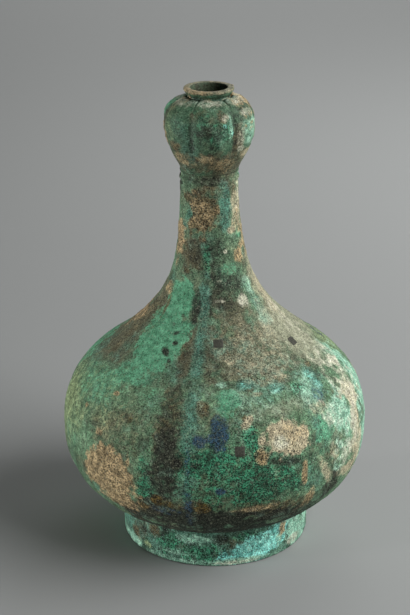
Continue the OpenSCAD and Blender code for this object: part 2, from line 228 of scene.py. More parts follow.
# Patches of the front by mineral, mostly from the foot up, each with the values of a Patch from its angle on
FRONT: dict[Mineral, tuple[tuple[float, ...], ...]] = {
    M.OLIVE: ((-4, 93, 9, 8, 0.5), (-42, 128, 32, 18, 0.6, 0.9, 0.6), (26, 142, 24, 12, 0.35, 0.7),
        (-80, 174, 21, 36, 1.2, 0.2, 0.4), (-80, 156, 20, 14, 0.8, 0.7), (-98, 168, 24, 26, 1, 0.5, 0.5),
        (-66, 161, 14, 11, 0.9, 0.5, 0.5), (-19, 174, 6, 28, 1.1, 0.3, 0.8), (24, 172, 38, 28, 0.95),
        (70, 176, 26, 30, 0.8, 0.7, 0.5), (-74, 195, 14, 16, 1.1, 0.25, 0.5), (-34, 236, 12, 14, 1.1),
        (14, 198, 18, 14, 0.95), (78, 205, 16, 28, 0.9, 0.6, 0.5), (0, 309, 62, 10, 0.8, 0.6), (-8, 311, 10, 8, 0.9),
        (60, 305, 16, 6, 0.85), (0, 359.8, 70, 2.2, 0.8)),
    M.MOSS: ((-46, 7, 5, 3, 0.8), (-77, 122, 30, 24, 1, 0.8, 0.5), (-86, 104, 20, 28, 0.8, 0.8, 0.5),
        (-46, 128, 34, 18, 0.22, 0.9, 0.6), (-62, 140, 36, 22, 0.45, 0.9, 0.6), (104, 156, 26, 20, 0.8, 0.7, 0.5),
        (-60, 332, 9, 13, 0.4, 0.8)),
    M.TEAL: ((-74, 15, 16, 14, 0.8), (-9, 96, 7, 12, 0.8), (-10, 78, 4, 26, 1, 0.6), (-10, 128, 7, 34, 1, 0.7),
        (44, 128, 10, 16, 0.7), (54, 150, 9, 13, 0.8), (-10.5, 174, 5, 30, 0.85, 0.7), (15, 157, 8, 5, 0.85),
        (30, 153, 8, 5, 0.85), (20, 176, 5, 3, 0.6), (-48, 262, 4, 15, 0.95, 0.5, 1, -30), (32, 273, 6, 17, 0.95),
        (-9.5, 204, 5, 22, 0.95), (57, 196, 5, 14, 0.9), (-33, 333, 5, 8, 0.5), (0, 353, 70, 3.4, 0.8)),
    M.BRIGHT: ((6, 149, 8, 11, 0.9), (46, 122, 10, 14, 0.7, 0.6), (-42, 176, 22, 29, 1.2, 0.2, 0.35),
        (-45, 158, 19, 14, 0.85, 0.7, 0.7), (-60, 144, 34, 18, 0.6, 0.9, 0.6), (-41, 202, 13, 20, 1.2, 0.22, 0.4),
        (28, 227, 9, 5, 0.6, 0.7), (63, 250, 4, 3, 0.7), (-44, 336, 6, 11, 0.3, 0.8)),
    # The emerald patch at 20 degrees and 24 mm, high on the foot, is painted shadow under the belly's rim.
    M.EMERALD: ((-30, 14, 9, 11, 0.8), (-8, 11, 20, 8, 0.7), (20, 24, 14, 4, 0.7), (-26, 88, 8, 20, 0.85),
        (8, 98, 60, 32, 0.6, 0.9, 0.7), (16, 94, 34, 26, 0.95, 0.7), (-2, 111, 26, 14, 0.95), (13.5, 127, 7, 9, 0.85),
        (24, 160, 6, 3, 0.5), (40, 150, 6, 5, 0.6), (-6, 236, 3, 11, 0.7), (2, 336, 14, 14, 0.5)),
    M.BROWN: ((-58, 13, 5, 4, 1, 0.5, 1, 0, 0.3), (-40, 22, 6, 5, 0.85), (-30, 63, 26, 9, 0.85),
        (-15, 71, 30, 9, 0.8, 0.6), (22, 68, 38, 9, 0.8, 0.6), (46, 100, 9, 8, 0.5), (-19, 126, 11, 28, 0.75, 0.7),
        (-20, 152, 9, 14, 0.5), (-5, 146, 5, 6), (-78, 178, 16, 20, 0.35), (-72, 163, 14, 10, 0.3),
        (-21, 173, 4, 10, 0.6), (58, 158, 3.5, 3, 0.8), (34, 164, 4, 3, 0.5), (-57, 195, 1.8, 10, 0.7),
        (-30, 238, 9, 12, 0.5), (-38, 224.5, 5, 2, 0.85), (-12, 270, 11, 18, 1.15, 0.25, 0.6, -6, 0.4),
        (-45, 280, 6, 4, 0.9), (58, 284, 5, 8, 0.6), (-52, 321, 6, 4.5), (22, 307, 7, 6, 0.7), (17, 345, 5, 5, 0.85),
        (42, 326, 5, 10, 0.9)),
    M.DARK: ((-49, 19, 4, 4, 0.6), (-30, 22, 6, 6, 0.6), (4.5, 24, 6.5, 4.5, 1, 0.5, 1, 0, 0.5),
        # The wide dark patches low on the belly, at 42, 56, 57 and 60 mm, are painted shade where the belly curves
        # under towards the foot, partly dark patina.
        (-19, 92, 11, 16, 0.85, 0.7), (24, 84, 20, 10, 0.4, 0.8), (-28, 57, 30, 9), (-14, 67, 32, 10, 0.75),
        (-4, 60, 60, 12, 1.3), (-5, 42, 80, 16, 1.3), (32, 56, 26, 9, 0.75), (50, 70, 10, 12, 0.85),
        (-68, 76, 26, 22, 0.45, 0.8), (-20, 139, 10, 13, 0.6, 0.8), (-18, 115, 10, 22, 0.95, 0.7),
        (-19, 150, 9, 14, 0.45), (-2, 128, 15, 16, 0.42), (26, 108, 17, 4, 0.8, 0.7, 1, -8),
        (38, 117, 3, 7, 0.6, 0.7), (-31, 158, 10, 8, 0.35), (-37, 188, 6, 2, 0.4),
        (-34, 172.5, 5, 2.8, 1, 0.35, 1.6, -35), (-30, 178, 2.6, 2.4, 1, 0.25), (-32, 183.5, 3, 1.6, 0.9, 0.5, 1, 30),
        (-29, 168, 2, 1.8, 0.9), (-19, 168, 5, 18, 0.35), (2, 168, 3, 2.5, 0.7), (-3, 164, 2, 2, 0.7),
        (-26, 236, 9, 13, 0.5), (9, 240, 10, 13, 0.65), (22, 214, 15, 10, 0.65), (12, 203, 12, 9, 0.6),
        # The dark patch at 294 mm, on the top of the neck under the head, is painted shadow of the head.
        (-19, 201, 4, 14, 0.75), (-2, 204, 1.8, 14, 0.6), (-5, 294, 14, 4, 0.7), (0, 331, 10, 10, 0.6),
        (0, 306, 60, 8, 0.38, 0.7), (-20, 312, 3, 3, 0.6), (2, 308, 4, 3, 0.6), (12, 313, 3, 2, 0.6),
        (3, 317, 3, 1.5, 0.8), (-86, 322, 5, 26, 0.6), (10, 354, 50, 3, 0.55)),
    # On the head, the turquoise patches at 20 degrees and 338.5 mm and at 32 degrees and 333 mm are a painted highlight
    # along the ridge beside the right groove.
    M.TURQUOISE: ((24, 11, 24, 10, 1.3, 0.4, 0.8, 14), (42, 18, 14, 9, 1.3, 0.4, 0.8, 14), (58, 12, 12, 9, 0.6),
        (52, 150, 6, 12, 0.35), (15, 157, 6, 4, 0.3), (30, 153, 6, 4, 0.3), (57, 186, 5, 3, 0.5),
        (20, 338.5, 2, 1.4, 0.4), (32, 333, 1.2, 2.6, 0.35)),
    # The thin mint patch at 29 degrees and 336 mm is a painted highlight along the ridge beside the right groove.
    M.MINT: ((-62, 5, 18, 4, 0.85), (-12, 23, 13, 4, 0.75), (-25, 9, 18, 2.4, 0.5), (32, 15, 22, 9, 0.3),
        (57, 15, 14, 13, 1.1), (74, 14, 16, 16), (0, 3, 60, 2.2, 0.6), (14, 3.5, 22, 2.6), (80, 92, 26, 30, 0.9),
        (48, 147, 12, 15, 0.6, 0.7), (22, 148, 36, 18, 0.32, 0.7), (59, 121, 18, 24, 0.85), (74, 115, 10, 14, 0.75),
        (84, 122, 22, 44), (32, 166, 30, 24, 0.28, 0.7), (74, 170, 26, 26, 0.25, 0.8, 0.5), (4, 158, 5, 3, 0.5),
        (55, 213, 6, 7, 0.55), (56, 189, 7, 6, 0.7), (29, 336, 1.6, 11, 0.55), (70, 332, 12, 10, 0.75, 0.7, 0.5)),
    M.AZURITE: ((2, 89, 4, 3, 0.95), (-10, 74, 3, 20, 0.5, 0.7), (-18, 68, 12, 5, 0.4),
        (-10, 108, 2.5, 16, 0.45, 0.7), (-5.5, 127, 7, 6, 0.9), (1.5, 130, 7, 13, 0.95), (49, 142, 5, 8, 0.55),
        (52, 145, 7, 12, 0.25)),
    M.OCHRE: ((-21.5, 77, 4, 5, 1, 0.5, 1, 0, 0.6), (-17, 75, 4, 3.5, 0.8, 0.5, 1, 0, 0.6),
        (-5, 74, 5, 5, 1, 0.5, 1, 0, 0.6), (-28, 68, 4, 3.5, 0.9, 0.5, 1, 0, 0.4), (-35, 133, 3, 2.5, 0.8),
        (12, 140, 2, 2.5, 0.7)),
    M.LOAM: ((27, 142, 20, 8, 0.5, 0.7), (73, 174, 24, 28, 1, 0.7, 0.4), (102, 178, 26, 28, 1, 0.6, 0.5),
        (90, 207, 13, 28, 1, 0.7, 0.5)),
    M.SILT: ((14, 70, 14, 1.6, 0.5), (44, 90, 4, 15, 0.65, 0.6, 0.9, 30), (49, 102, 4, 9, 0.5, 0.6, 0.9, 25),
        (66, 96, 12, 24, 0.75), (60, 78, 14, 6, 0.7), (13, 138, 3, 6, 0.8, 0.5, 1, -40, 0.3),
        (27.5, 124, 19, 14, 1.2, 0.2, 0.4, -12, 1), (46, 136, 10, 5, 0.5, 0.6), (70, 132, 14, 12, 0.9),
        (67, 118, 8, 16, 0.8), (30, 173, 26, 22, 0.3, 0.7), (10, 170, 4, 2.5, 0.55),
        (26, 166, 6, 3, 0.5, 0.5, 1, -30), (20, 152, 5, 2, 0.5), (36, 158, 8, 2.5, 0.5, 0.5, 1, -20),
        (45, 255, 4.5, 2.6, 0.95, 0.5, 1, 0, 0.3), (68, 272, 8, 22, 0.6), (80, 205, 15, 26, 0.3, 0.7, 0.5),
        (86, 200, 9, 20, 0.55), (-4, 314, 6, 2, 0.4), (70, 314, 8, 4, 0.7), (0, 360, 70, 2, 0.42)),
    M.EARTH: ((45, 22, 4, 5.5, 1, 0.5, 1, 0, 0.4), (-43, 87, 26, 21, 1.5, 0.25, 0.35, 6, 0.9), (-40, 66, 20, 9, 0.75),
        (16, 71, 20, 3, 0.6, 0.7), (38, 70, 6, 12, 0.7), (34, 95, 2.8, 11, 1, 0.5, 1, 0, 0.5), (-80, 40, 24, 10, 0.8),
        (-44, 132, 34, 18, 0.22, 0.9), (-47, 145, 3, 2, 0.9), (-60, 130, 3, 2, 0.8), (-48, 118, 3.5, 2.5, 0.8),
        (30, 128, 13, 8, 0.45, 0.6), (17, 114, 5, 5, 0.9, 0.5, 1, 0, 0.5), (-68, 208, 6, 5, 0.75),
        (-68, 247, 8, 15, 0.9), (-12, 268, 10, 16, 0.62), (51, 235, 5, 6, 0.95, 0.5, 1, 0, 0.3),
        (0, 309, 50, 9, 0.28, 0.7), (-8, 312, 9, 6, 0.5), (-45, 310, 6, 6, 0.5), (20, 308, 7, 5, 0.5),
        (-50, 359.8, 20, 2.4, 0.6)),
    M.SCALE: ((56, 6, 10, 4, 0.6), (13, 2.5, 18, 1.6, 0.6), (58, 96, 9, 11, 0.55), (24, 122, 7, 6, 0.8),
        (49, 127, 7, 6, 0.45), (56, 117, 18, 22, 0.25, 0.7), (64, 112, 10, 12, 0.65), (72, 140, 18, 24, 0.6),
        (77, 150, 8, 7, 0.95, 0.3), (66, 180, 26, 30, 0.12, 0.8, 0.5), (82, 178, 12, 24, 0.35),
        (78, 276, 6, 20, 0.35), (26, 240, 2, 1.6, 0.85), (9.5, 205.2, 4.5, 1.1, 0.55),
        (38, 204, 4.5, 4, 0.9, 0.5, 1, 0, 0.3), (11, 219, 2.2, 1, 0.45), (22, 344, 3.5, 3, 0.45),
        (46, 328, 4, 6, 0.4), (61, 345.5, 7, 2.6, 0.5), (48, 319, 3, 2.5, 0.7)),
}
FRONT_PATCHES = tuple(Patch(mineral, *values) for mineral, rows in FRONT.items() for values in rows)
FIRST_GROOVE, CLOVE_TURN = -24, 60
# Painted shade in the grooves between the cloves, and pale scale on the crown of each clove
GROOVE_SHADE_AND_CROWN_PATCHES = tuple(
    patch for groove in range(FIRST_GROOVE, FIRST_GROOVE + 360, CLOVE_TURN) for patch in (
        Patch(M.DARK, groove, 330, 2.4, 21, 0.55),
        Patch(M.SCALE, groove + CLOVE_TURN / 2, 352, 13, 4, 0.48, soft=0.7)))


def back_patches(seed: int = 41, count: int = 90) -> tuple[Patch, ...]:
    """Scatter patches of the same minerals over the side that the photograph doesn't show.

    Args:
        seed: Seed of the draw.
        count: Number of patches.

    Returns:
        The patches, in the order of the draw.
    """
    draw = np.random.default_rng(seed)
    kinds = [M.OLIVE, M.TEAL, M.BRIGHT, M.EMERALD, M.BROWN, M.DARK, M.TURQUOISE, M.MINT, M.AZURITE, M.EARTH, M.SCALE]
    odds = np.array([4, 4, 4, 3, 2, 3, 2, 2, 1, 4, 1], float)
    patches = []
    for number in draw.choice(len(kinds), size=count, p=odds / odds.sum()):
        mineral = kinds[number]
        size = draw.uniform(5, 22) * (0.45 if mineral in (M.AZURITE, M.SCALE, M.TURQUOISE) else 1.0)
        patches.append(Patch(mineral, draw.uniform(98, 262), draw.uniform(8, 350), size * draw.uniform(0.7, 1.4), size,
                             draw.uniform(0.65, 1.05), turn=draw.uniform(-40, 40),
                             rise=0.6 if mineral is M.EARTH else 0.0))
    return tuple(patches)


class CadProbe:
    """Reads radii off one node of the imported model."""

    FAR = 400.0
    INSET = 0.03

    def __init__(self, node: str) -> None:
        """Build the search tree of the node's triangles."""
        mesh = frame["nodes"][node].data
        self.tree = BVHTree.FromPolygons([v.co for v in mesh.vertices], [p.vertices for p in mesh.polygons])

    def ray(self, start: Place, way: Place) -> Vector | None:
        """Cast one ray.

        Args:
            start: Start of the ray.
            way: Direction of the ray.

        Returns:
            The first point that is hit, or nothing.
        """
        hit = self.tree.ray_cast(Vector(start) * MM, Vector(way))[0]
        return None if hit is None else hit / MM

    def radius(self, height: float, angle: float, inner: bool = False) -> float | None:
        """Read a radius off the face that a level ray meets first.

        Args:
            height: Height of the ray.
            angle: Angle of the ray.
            inner: Whether the ray comes from the axis, and not from outside.

        Returns:
            The radius, or nothing.
        """
        x, y = math.sin(math.radians(angle)), -math.cos(math.radians(angle))
        start, way = ((0, 0, height), (x, y, 0)) if inner else ((self.FAR * x, self.FAR * y, height), (-x, -y, 0))
        hit = self.ray(start, way)
        return None if hit is None else math.hypot(hit.x, hit.y)

    def outer_line(self, low: float, high: float, angle: float, step: float = 0.25) -> np.ndarray:
        """Sample the outer face between two heights.

        Args:
            low: Lower height.
            high: Upper height.
            angle: Angle of the section.
            step: Distance of the samples.

        Returns:
            Rows of radius and height, from low to high, with both ends carried to the heights asked for.
        """
        heights = np.linspace(low + self.INSET, high - self.INSET, max(3, int((high - low) / step)))
        line = np.array([(r, z) for z in heights if (r := self.radius(float(z), angle)) is not None])
        line[0, 1], line[-1, 1] = low, high
        return line

    def inner_line(self, low: float, high: float, angle: float, step: float) -> np.ndarray:
        """Sample the inner face between two heights, from high to low, as rows of radius and height."""
        heights = np.linspace(high - self.INSET, low + self.INSET, max(2, int((high - low) / step)))
        return np.array([(r, z) for z in heights if (r := self.radius(float(z), angle, inner=True)) is not None])


def spacer_places(node: str, gap: float = 10.0) -> list[tuple[float, float]]:
    """Find the middles of a ring of core spacers.

    Args:
        node: CAD node of the ring.
        gap: Least angle between two spacers.

    Returns:
        Angle and height of each spacer.
    """
    points = np.array([v.co for v in frame["nodes"][node].data.vertices]) / MM
    angles = angles_of(points)
    turns = np.sort(angles)
    # The ring is opened in its widest gap, so that no spacer is cut in two where the angles wrap
    start = turns[(int(np.argmax(np.diff(turns, append=turns[0] + 360.0))) + 1) % len(turns)]
    angles = (angles - start) % 360.0 + start
    order = np.argsort(angles)
    groups = np.split(order, np.where(np.diff(angles[order]) > gap)[0] + 1)
    return [(wrapped((angles[g].min() + angles[g].max()) / 2), (points[g, 2].min() + points[g, 2].max()) / 2)
            for g in groups]


def is_covered(angle: float, reach: float = 2.0) -> bool:
    """Whether the crust has grown over the spacer at an angle, within a reach."""
    return any(abs(angle - covered) < reach for covered in COVERED_SPACERS)


def even_rows(line: np.ndarray, step: float) -> np.ndarray:
    """Space the points of a line evenly along it.

    Args:
        line: Rows of radius and height.
        step: Wanted distance.

    Returns:
        The evenly spaced rows, with both ends kept.
    """
    run = np.concatenate([[0.0], np.cumsum(np.hypot(*np.diff(line, axis=0).T))])
    at = np.linspace(0.0, run[-1], max(2, round(run[-1] / step) + 1))
    return np.column_stack([np.interp(at, run, line[:, 0]), np.interp(at, run, line[:, 1])])


@dataclass
class BottleSkin:
    """The bottle's outer outline from the ground to the crown, and how its neck leans."""

    section_angle: float = 38.0
    lean: float = -3.3
    lean_from: float = 140.0
    lean_to: float = 285.0
    rim_gap: float = 0.1
    slope_span: float = 1.5
    steepest: float = 3.0

    def __post_init__(self) -> None:
        """Read the outline off the castings."""
        self.probes = {node: CadProbe(node) for node in frame["nodes"]}
        top = {node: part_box(node)[1].z / MM for node in frame["nodes"]}
        self.foot_top, self.belly_top, self.shoulder_top = top["foot_ring"], top["lower_belly"], top["shoulder"]
        self.neck_top, self.band_top = (corner.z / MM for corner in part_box("neck_band"))
        self.head_top = top["garlic_head"]
        spans = (("foot_ring", 0.0, self.foot_top), ("lower_belly", self.foot_top, self.belly_top),
                 ("shoulder", self.belly_top, self.shoulder_top), ("neck", self.shoulder_top, self.neck_top),
                 ("neck_band", self.neck_top, self.band_top), ("garlic_head", self.band_top, self.head_top),
                 ("mouth_rim", self.head_top + self.rim_gap, top["mouth_rim"]))
        self.lines = {node: self.probes[node].outer_line(low, high, self.section_angle) for node, low, high in spans}
        outline = np.vstack(list(self.lines.values()))
        self.heights, first = np.unique(outline[:, 1], return_index=True)
        self.radii = outline[first, 0]
        self.arcs = np.concatenate([[0.0], np.cumsum(np.hypot(np.diff(self.radii), np.diff(self.heights)))])

    def arc(self, height: np.ndarray) -> np.ndarray:
        """Length along the outline from the ground to a height."""
        return np.interp(height, self.heights, self.arcs)

    def radius(self, height: np.ndarray) -> np.ndarray:
        """Outer radius at a height."""
        return np.interp(height, self.heights, self.radii)

    def slope(self, height: np.ndarray) -> np.ndarray:
        """Change of radius with height, read over a short span to both sides."""
        change = self.radius(height + self.slope_span) - self.radius(height - self.slope_span)
        return np.clip(change / (2 * self.slope_span), -self.steepest, self.steepest)

    def shift(self, height: np.ndarray) -> np.ndarray:
        """How far the leaning neck has moved sideways at a height."""
        return self.lean * smooth_step(self.lean_from, self.lean_to, height)


@dataclass
class SkinPlaces:
    """Places on the skin before the neck leans, with what the crust's field reads off them."""

    points: np.ndarray
    angle: np.ndarray
    radius: np.ndarray
    arc: np.ndarray
    ragged: np.ndarray


@dataclass
class CrustField:
    """The corrosion on the whole bottle, with some painted shade and a painted highlight among its patches: where each
    mineral lies and how far the skin stands in or out.

    Each unevenness has its height and its width. Calm is how near to a bare spacer the crust has ended,
    and from where on it is whole.
    """

    skin: BottleSkin
    patches: tuple[Patch, ...]
    calm_spots: tuple[tuple[float, float], ...]
    swell: tuple[float, float] = (0.9, 85.0)
    dent: tuple[float, float] = (0.5, 30.0)
    lump: tuple[float, float] = (0.26, 9.0)
    grain: tuple[float, float] = (0.16, 3.6)
    pit: tuple[float, float] = (0.5, 5.5)
    seam: tuple[float, float] = (0.45, 1.7)
    seam_angle: float = -6.0
    calm: tuple[float, float] = (5.5, 10.0)
    first_seed: int = 100

    # Heights and widths of the noise that breaks the patches' edges, the least fray, and the size at which it is full
    EDGE_NOISE = ((0.75, 17.0), (0.6, 6.5), (0.4, 2.8))
    LEAST_FRAY, FULL_FRAY_SIZE = 0.3, 12.0
    # The radius under which the wall swells less, and the least share that is left
    SLIM_RADIUS, SLIM_LEAST = 60.0, 0.35
    # Noise in which pits open, how the seam wanders, the heights between which it begins, and the noise of proud earth
    PIT_NOISE, SEAM_WANDER, SEAM_START, PROUD_NOISE = (0.42, 0.8), (1.4, 40.0), (24.0, 40.0), (0.75, 0.5, 4.2)
    # How far colonies thin out on smooth patches, the noise in which they grow and the step between their noises
    COLONY_THINNING, COLONY_NOISE, COLONY_STEP = 0.8, (0.0, 0.6), 37.0
    # Mineral, number of its noise, width and densest cover of what grows everywhere
    COLONIES = ((M.OLIVE, 3, 30.0, 0.6), (M.TEAL, 4, 26.0, 0.5), (M.BRIGHT, 5, 40.0, 0.35), (M.DARK, 6, 14.0, 0.4),
                (M.EARTH, 7, 11.0, 0.15), (M.MINT, 3, 9.0, 0.22), (M.BROWN, 4, 12.0, 0.3))

    def __post_init__(self) -> None:
        """Draw the noise of the field."""
        self.noise = [LatticeNoise(self.first_seed + k) for k in range(8)]

    def places(self, points: np.ndarray) -> SkinPlaces:
        """Read what the field needs off places on the skin.

        Args:
            points: The places, before the neck leans.

        Returns:
            The places with their angles, radii, arcs and edge noise.
        """
        ragged = sum(high * noise.at(points, size) for noise, (high, size) in zip(self.noise, self.EDGE_NOISE))
        return SkinPlaces(points, angles_of(points), np.hypot(points[:, 0], points[:, 1]),
                          self.skin.arc(points[:, 2]), ragged)

    def offsets(self, at: SkinPlaces, angle: float, height: float) -> tuple[np.ndarray, np.ndarray]:
        """Distances of places from a spot, around and up along the skin."""
        across = np.radians(wrapped(at.angle - angle)) * at.radius
        return across, at.arc - float(self.skin.arc(np.array(height)))

    def patch_share(self, patch: Patch, at: SkinPlaces) -> np.ndarray:
        """How much a patch holds each place.

        Args:
            patch: The patch.
            at: Places on the skin.

        Returns:
            A share from 0 to 1 for each place.
        """
        across, up = self.offsets(at, patch.angle, patch.height)
        turn = math.radians(patch.turn)
        along = across * math.cos(turn) + up * math.sin(turn)
        over = up * math.cos(turn) - across * math.sin(turn)
        fray = patch.fray * min(1.0, max(self.LEAST_FRAY, min(patch.wide, patch.tall) / self.FULL_FRAY_SIZE))
        reach = np.hypot(along / patch.wide, over / patch.tall) + fray * at.ragged
        return smooth_step(1.0 + patch.soft, 1.0 - patch.soft, reach)

    def masks(self, points: np.ndarray) -> dict[Mineral, np.ndarray]:
        """Lay the minerals out.

        Args:
            points: Places on the skin, before the neck leans.

        Returns:
            The cover of each mineral at each place.
        """
        at = self.places(points)
        cover = {mineral: np.zeros(len(points)) for mineral in Mineral}
        for patch in self.patches:
            cover[patch.mineral] = np.maximum(cover[patch.mineral], patch.cover * self.patch_share(patch, at))
        smooth = np.clip(np.maximum(cover[M.BRIGHT], cover[M.MOSS]), 0.0, 1.0)
        for mineral, which, size, most in self.COLONIES:
            noise = self.noise[which].at(points + self.COLONY_STEP * which, size)
            colony = most * smooth_step(*self.COLONY_NOISE, noise)
            cover[mineral] = np.maximum(cover[mineral], colony * (1.0 - self.COLONY_THINNING * smooth))
        return cover

    def relief(self, points: np.ndarray) -> np.ndarray:
        """How far the skin stands out at each place.

        Args:
            points: Places on the skin, before the neck leans.

        Returns:
            The height of the crust over the cast wall at each place.
        """
        at = self.places(points)
        swell, dent, lump, grain = (
            high * self.noise[which].at(points, size)
            for which, (high, size) in enumerate((self.swell, self.dent, self.lump, self.grain), start=3))
        height = np.clip(at.radius / self.SLIM_RADIUS, self.SLIM_LEAST, 1.0) * (swell + dent)
        height += lump + grain
        height -= self.pit[0] * smooth_step(*self.PIT_NOISE, self.noise[7].at(points, self.pit[1]))
        wander, length = self.SEAM_WANDER
        across = np.radians(at.angle - self.seam_angle) * at.radius + wander * self.noise[2].at(points, length)
        height += self.seam[0] * np.exp(-(across / self.seam[1]) ** 2) * smooth_step(*self.SEAM_START, points[:, 2])
        base, high, size = self.PROUD_NOISE
        proud = base + high * self.noise[1].at(points, size)
        for patch in self.patches:
            if patch.rise:
                height += patch.rise * self.patch_share(patch, at) * proud
        for spot in self.calm_spots:
            height *= smooth_step(*self.calm, np.hypot(*self.offsets(at, *spot)))
        return height


def grown(piece: Object, tree: NodeTree, values: dict[str, object]) -> Object:
    """Run a tree on an object and keep the result as its plain mesh.

    Args:
        piece: Object whose mesh goes into the tree.
        tree: Geometry node tree.
        values: Named inputs of the tree.

    Returns:
        The same object with the new mesh.
    """
    modifier = piece.modifiers.new(tree.name, "NODES")
    modifier.node_group = tree
    for item in tree.interface.items_tree:
        if item.in_out == "INPUT" and item.name in values:
            modifier[item.identifier] = values[item.name]
    graph = bpy.context.evaluated_depsgraph_get()
    mesh = bpy.data.meshes.new_from_object(piece.evaluated_get(graph), preserve_all_data_layers=True, depsgraph=graph)
    piece.modifiers.remove(modifier)
    mesh.materials.clear()
    mesh.materials.append(values["Finish"])
    mesh.polygons.foreach_set("material_index", np.zeros(len(mesh.polygons), np.int32))
    old = piece.data
    piece.data = mesh
    bpy.data.meshes.remove(old)
    mesh.name = piece.name
    return piece


def placed(name: str, data: Mesh | Light | Camera) -> Object:
    """Make an object in the scene.

    Args:
        name: Name of the object.
        data: What it shows.

    Returns:
        The object.
    """
    thing = bpy.data.objects.new(name, data)
    bpy.context.scene.collection.objects.link(thing)
    return thing


def new_piece(name: str, points: np.ndarray, edges: list[tuple[int, int]]) -> Object:
    """Make an object of points and edges.

    Args:
        name: Name of the object.
        points: Its vertices in metres.
        edges: Pairs of vertices.

    Returns:
        The object.
    """
    mesh = bpy.data.meshes.new(name)
    mesh.from_pydata([tuple(p) for p in points], edges, [])
    return placed(name, mesh)


def new_tree(name: str, **inputs: str) -> tuple[NodeTree, partial, NodeOutputs]:
    """Start a geometry node tree.

    Args:
        name: Name of the tree.
        **inputs: Named inputs with their kinds, between the geometry and the finish.

    Returns:
        The tree, add_node for this tree, and the sockets of its inputs.
    """
    tree = bpy.data.node_groups.new(name, "GeometryNodeTree")
    for key, kind in {"Geometry": "Geometry", **inputs, "Finish": "Material"}.items():
        tree.interface.new_socket(key, in_out="INPUT", socket_type="NodeSocket" + kind)
    tree.interface.new_socket("Geometry", in_out="OUTPUT", socket_type="NodeSocketGeometry")
    return tree, partial(add_node, tree), add_node(tree, "NodeGroupInput").outputs


def close_tree(tree: NodeTree, shape: Node, finish: NodeSocket) -> NodeTree:
    """End a tree in realised instances, smooth shading and its material.

    Args:
        tree: The tree.
        shape: Node that gives the geometry.
        finish: The tree's input for the material.

    Returns:
        The same tree.
    """
    real = add_node(tree, "GeometryNodeRealizeInstances", {"Geometry": shape})
    soft = add_node(tree, "GeometryNodeSetShadeSmooth", {0: real})
    dressed = add_node(tree, "GeometryNodeSetMaterial", {"Geometry": soft, "Material": finish})
    add_node(tree, "NodeGroupOutput", {"Geometry": dressed})
    return tree


def turned_wall_tree(merge: float = 1e-6) -> NodeTree:
    """Build the tree that turns a closed outline of points, each a radius and a height, into a wall.

    Args:
        merge: Distance in metres within which the wall's ends are joined.

    Returns:
        The tree.
    """
    tree, node, given = new_tree("Turned wall", Segments="Int")
    outline, segments = given["Geometry"], given["Segments"]
    rows = node("GeometryNodeAttributeDomainSize", {"Geometry": outline}).outputs["Point Count"]
    rows_shut = node("FunctionNodeIntegerMath", {0: rows, 1: 1}, operation="ADD")
    columns = node("FunctionNodeIntegerMath", {0: segments, 1: 1}, operation="ADD")
    grid = node("GeometryNodeMeshGrid", {"Vertices X": columns, "Vertices Y": rows_shut})
    index = node("GeometryNodeInputIndex")
    column = node("FunctionNodeIntegerMath", {0: index, 1: rows_shut}, operation="DIVIDE_FLOOR")
    place = node("FunctionNodeIntegerMath", {0: index, 1: rows_shut}, operation="MODULO")
    row = node("FunctionNodeIntegerMath", {0: place, 1: rows}, operation="MODULO")
    spot = node("GeometryNodeSampleIndex", {
        "Geometry": outline, "Index": row, "Value": node("GeometryNodeInputPosition")}, data_type="FLOAT_VECTOR")
    mark = node("GeometryNodeInputNamedAttribute", {"Name": "skin"}, data_type="FLOAT")
    kept = node("GeometryNodeSampleIndex", {"Geometry": outline, "Index": row, "Value": mark}, data_type="FLOAT")
    share = node("ShaderNodeMath", {0: column, 1: segments}, operation="DIVIDE")
    turn = node("ShaderNodeMath", {0: share, 1: math.tau}, operation="MULTIPLY")
    radius, _, height = node("ShaderNodeSeparateXYZ", {0: spot}).outputs
    sine = node("ShaderNodeMath", {0: turn}, operation="SINE")
    cosine = node("ShaderNodeMath", {0: turn}, operation="COSINE")
    x = node("ShaderNodeMath", {0: radius, 1: sine}, operation="MULTIPLY")
    depth = node("ShaderNodeMath", {0: radius, 1: cosine}, operation="MULTIPLY")
    y = node("ShaderNodeMath", {0: depth, 1: -1.0}, operation="MULTIPLY")
    where = node("ShaderNodeCombineXYZ", {0: x, 1: y, 2: height})
    turned = node("GeometryNodeSetPosition", {"Geometry": grid, "Position": where})
    marked = node("GeometryNodeStoreNamedAttribute", {"Geometry": turned, "Name": "skin", "Value": kept},
                  data_type="FLOAT", domain="POINT")
    shut = node("GeometryNodeMergeByDistance", {"Geometry": marked, "Distance": merge})
    return close_tree(tree, shut, given["Finish"])


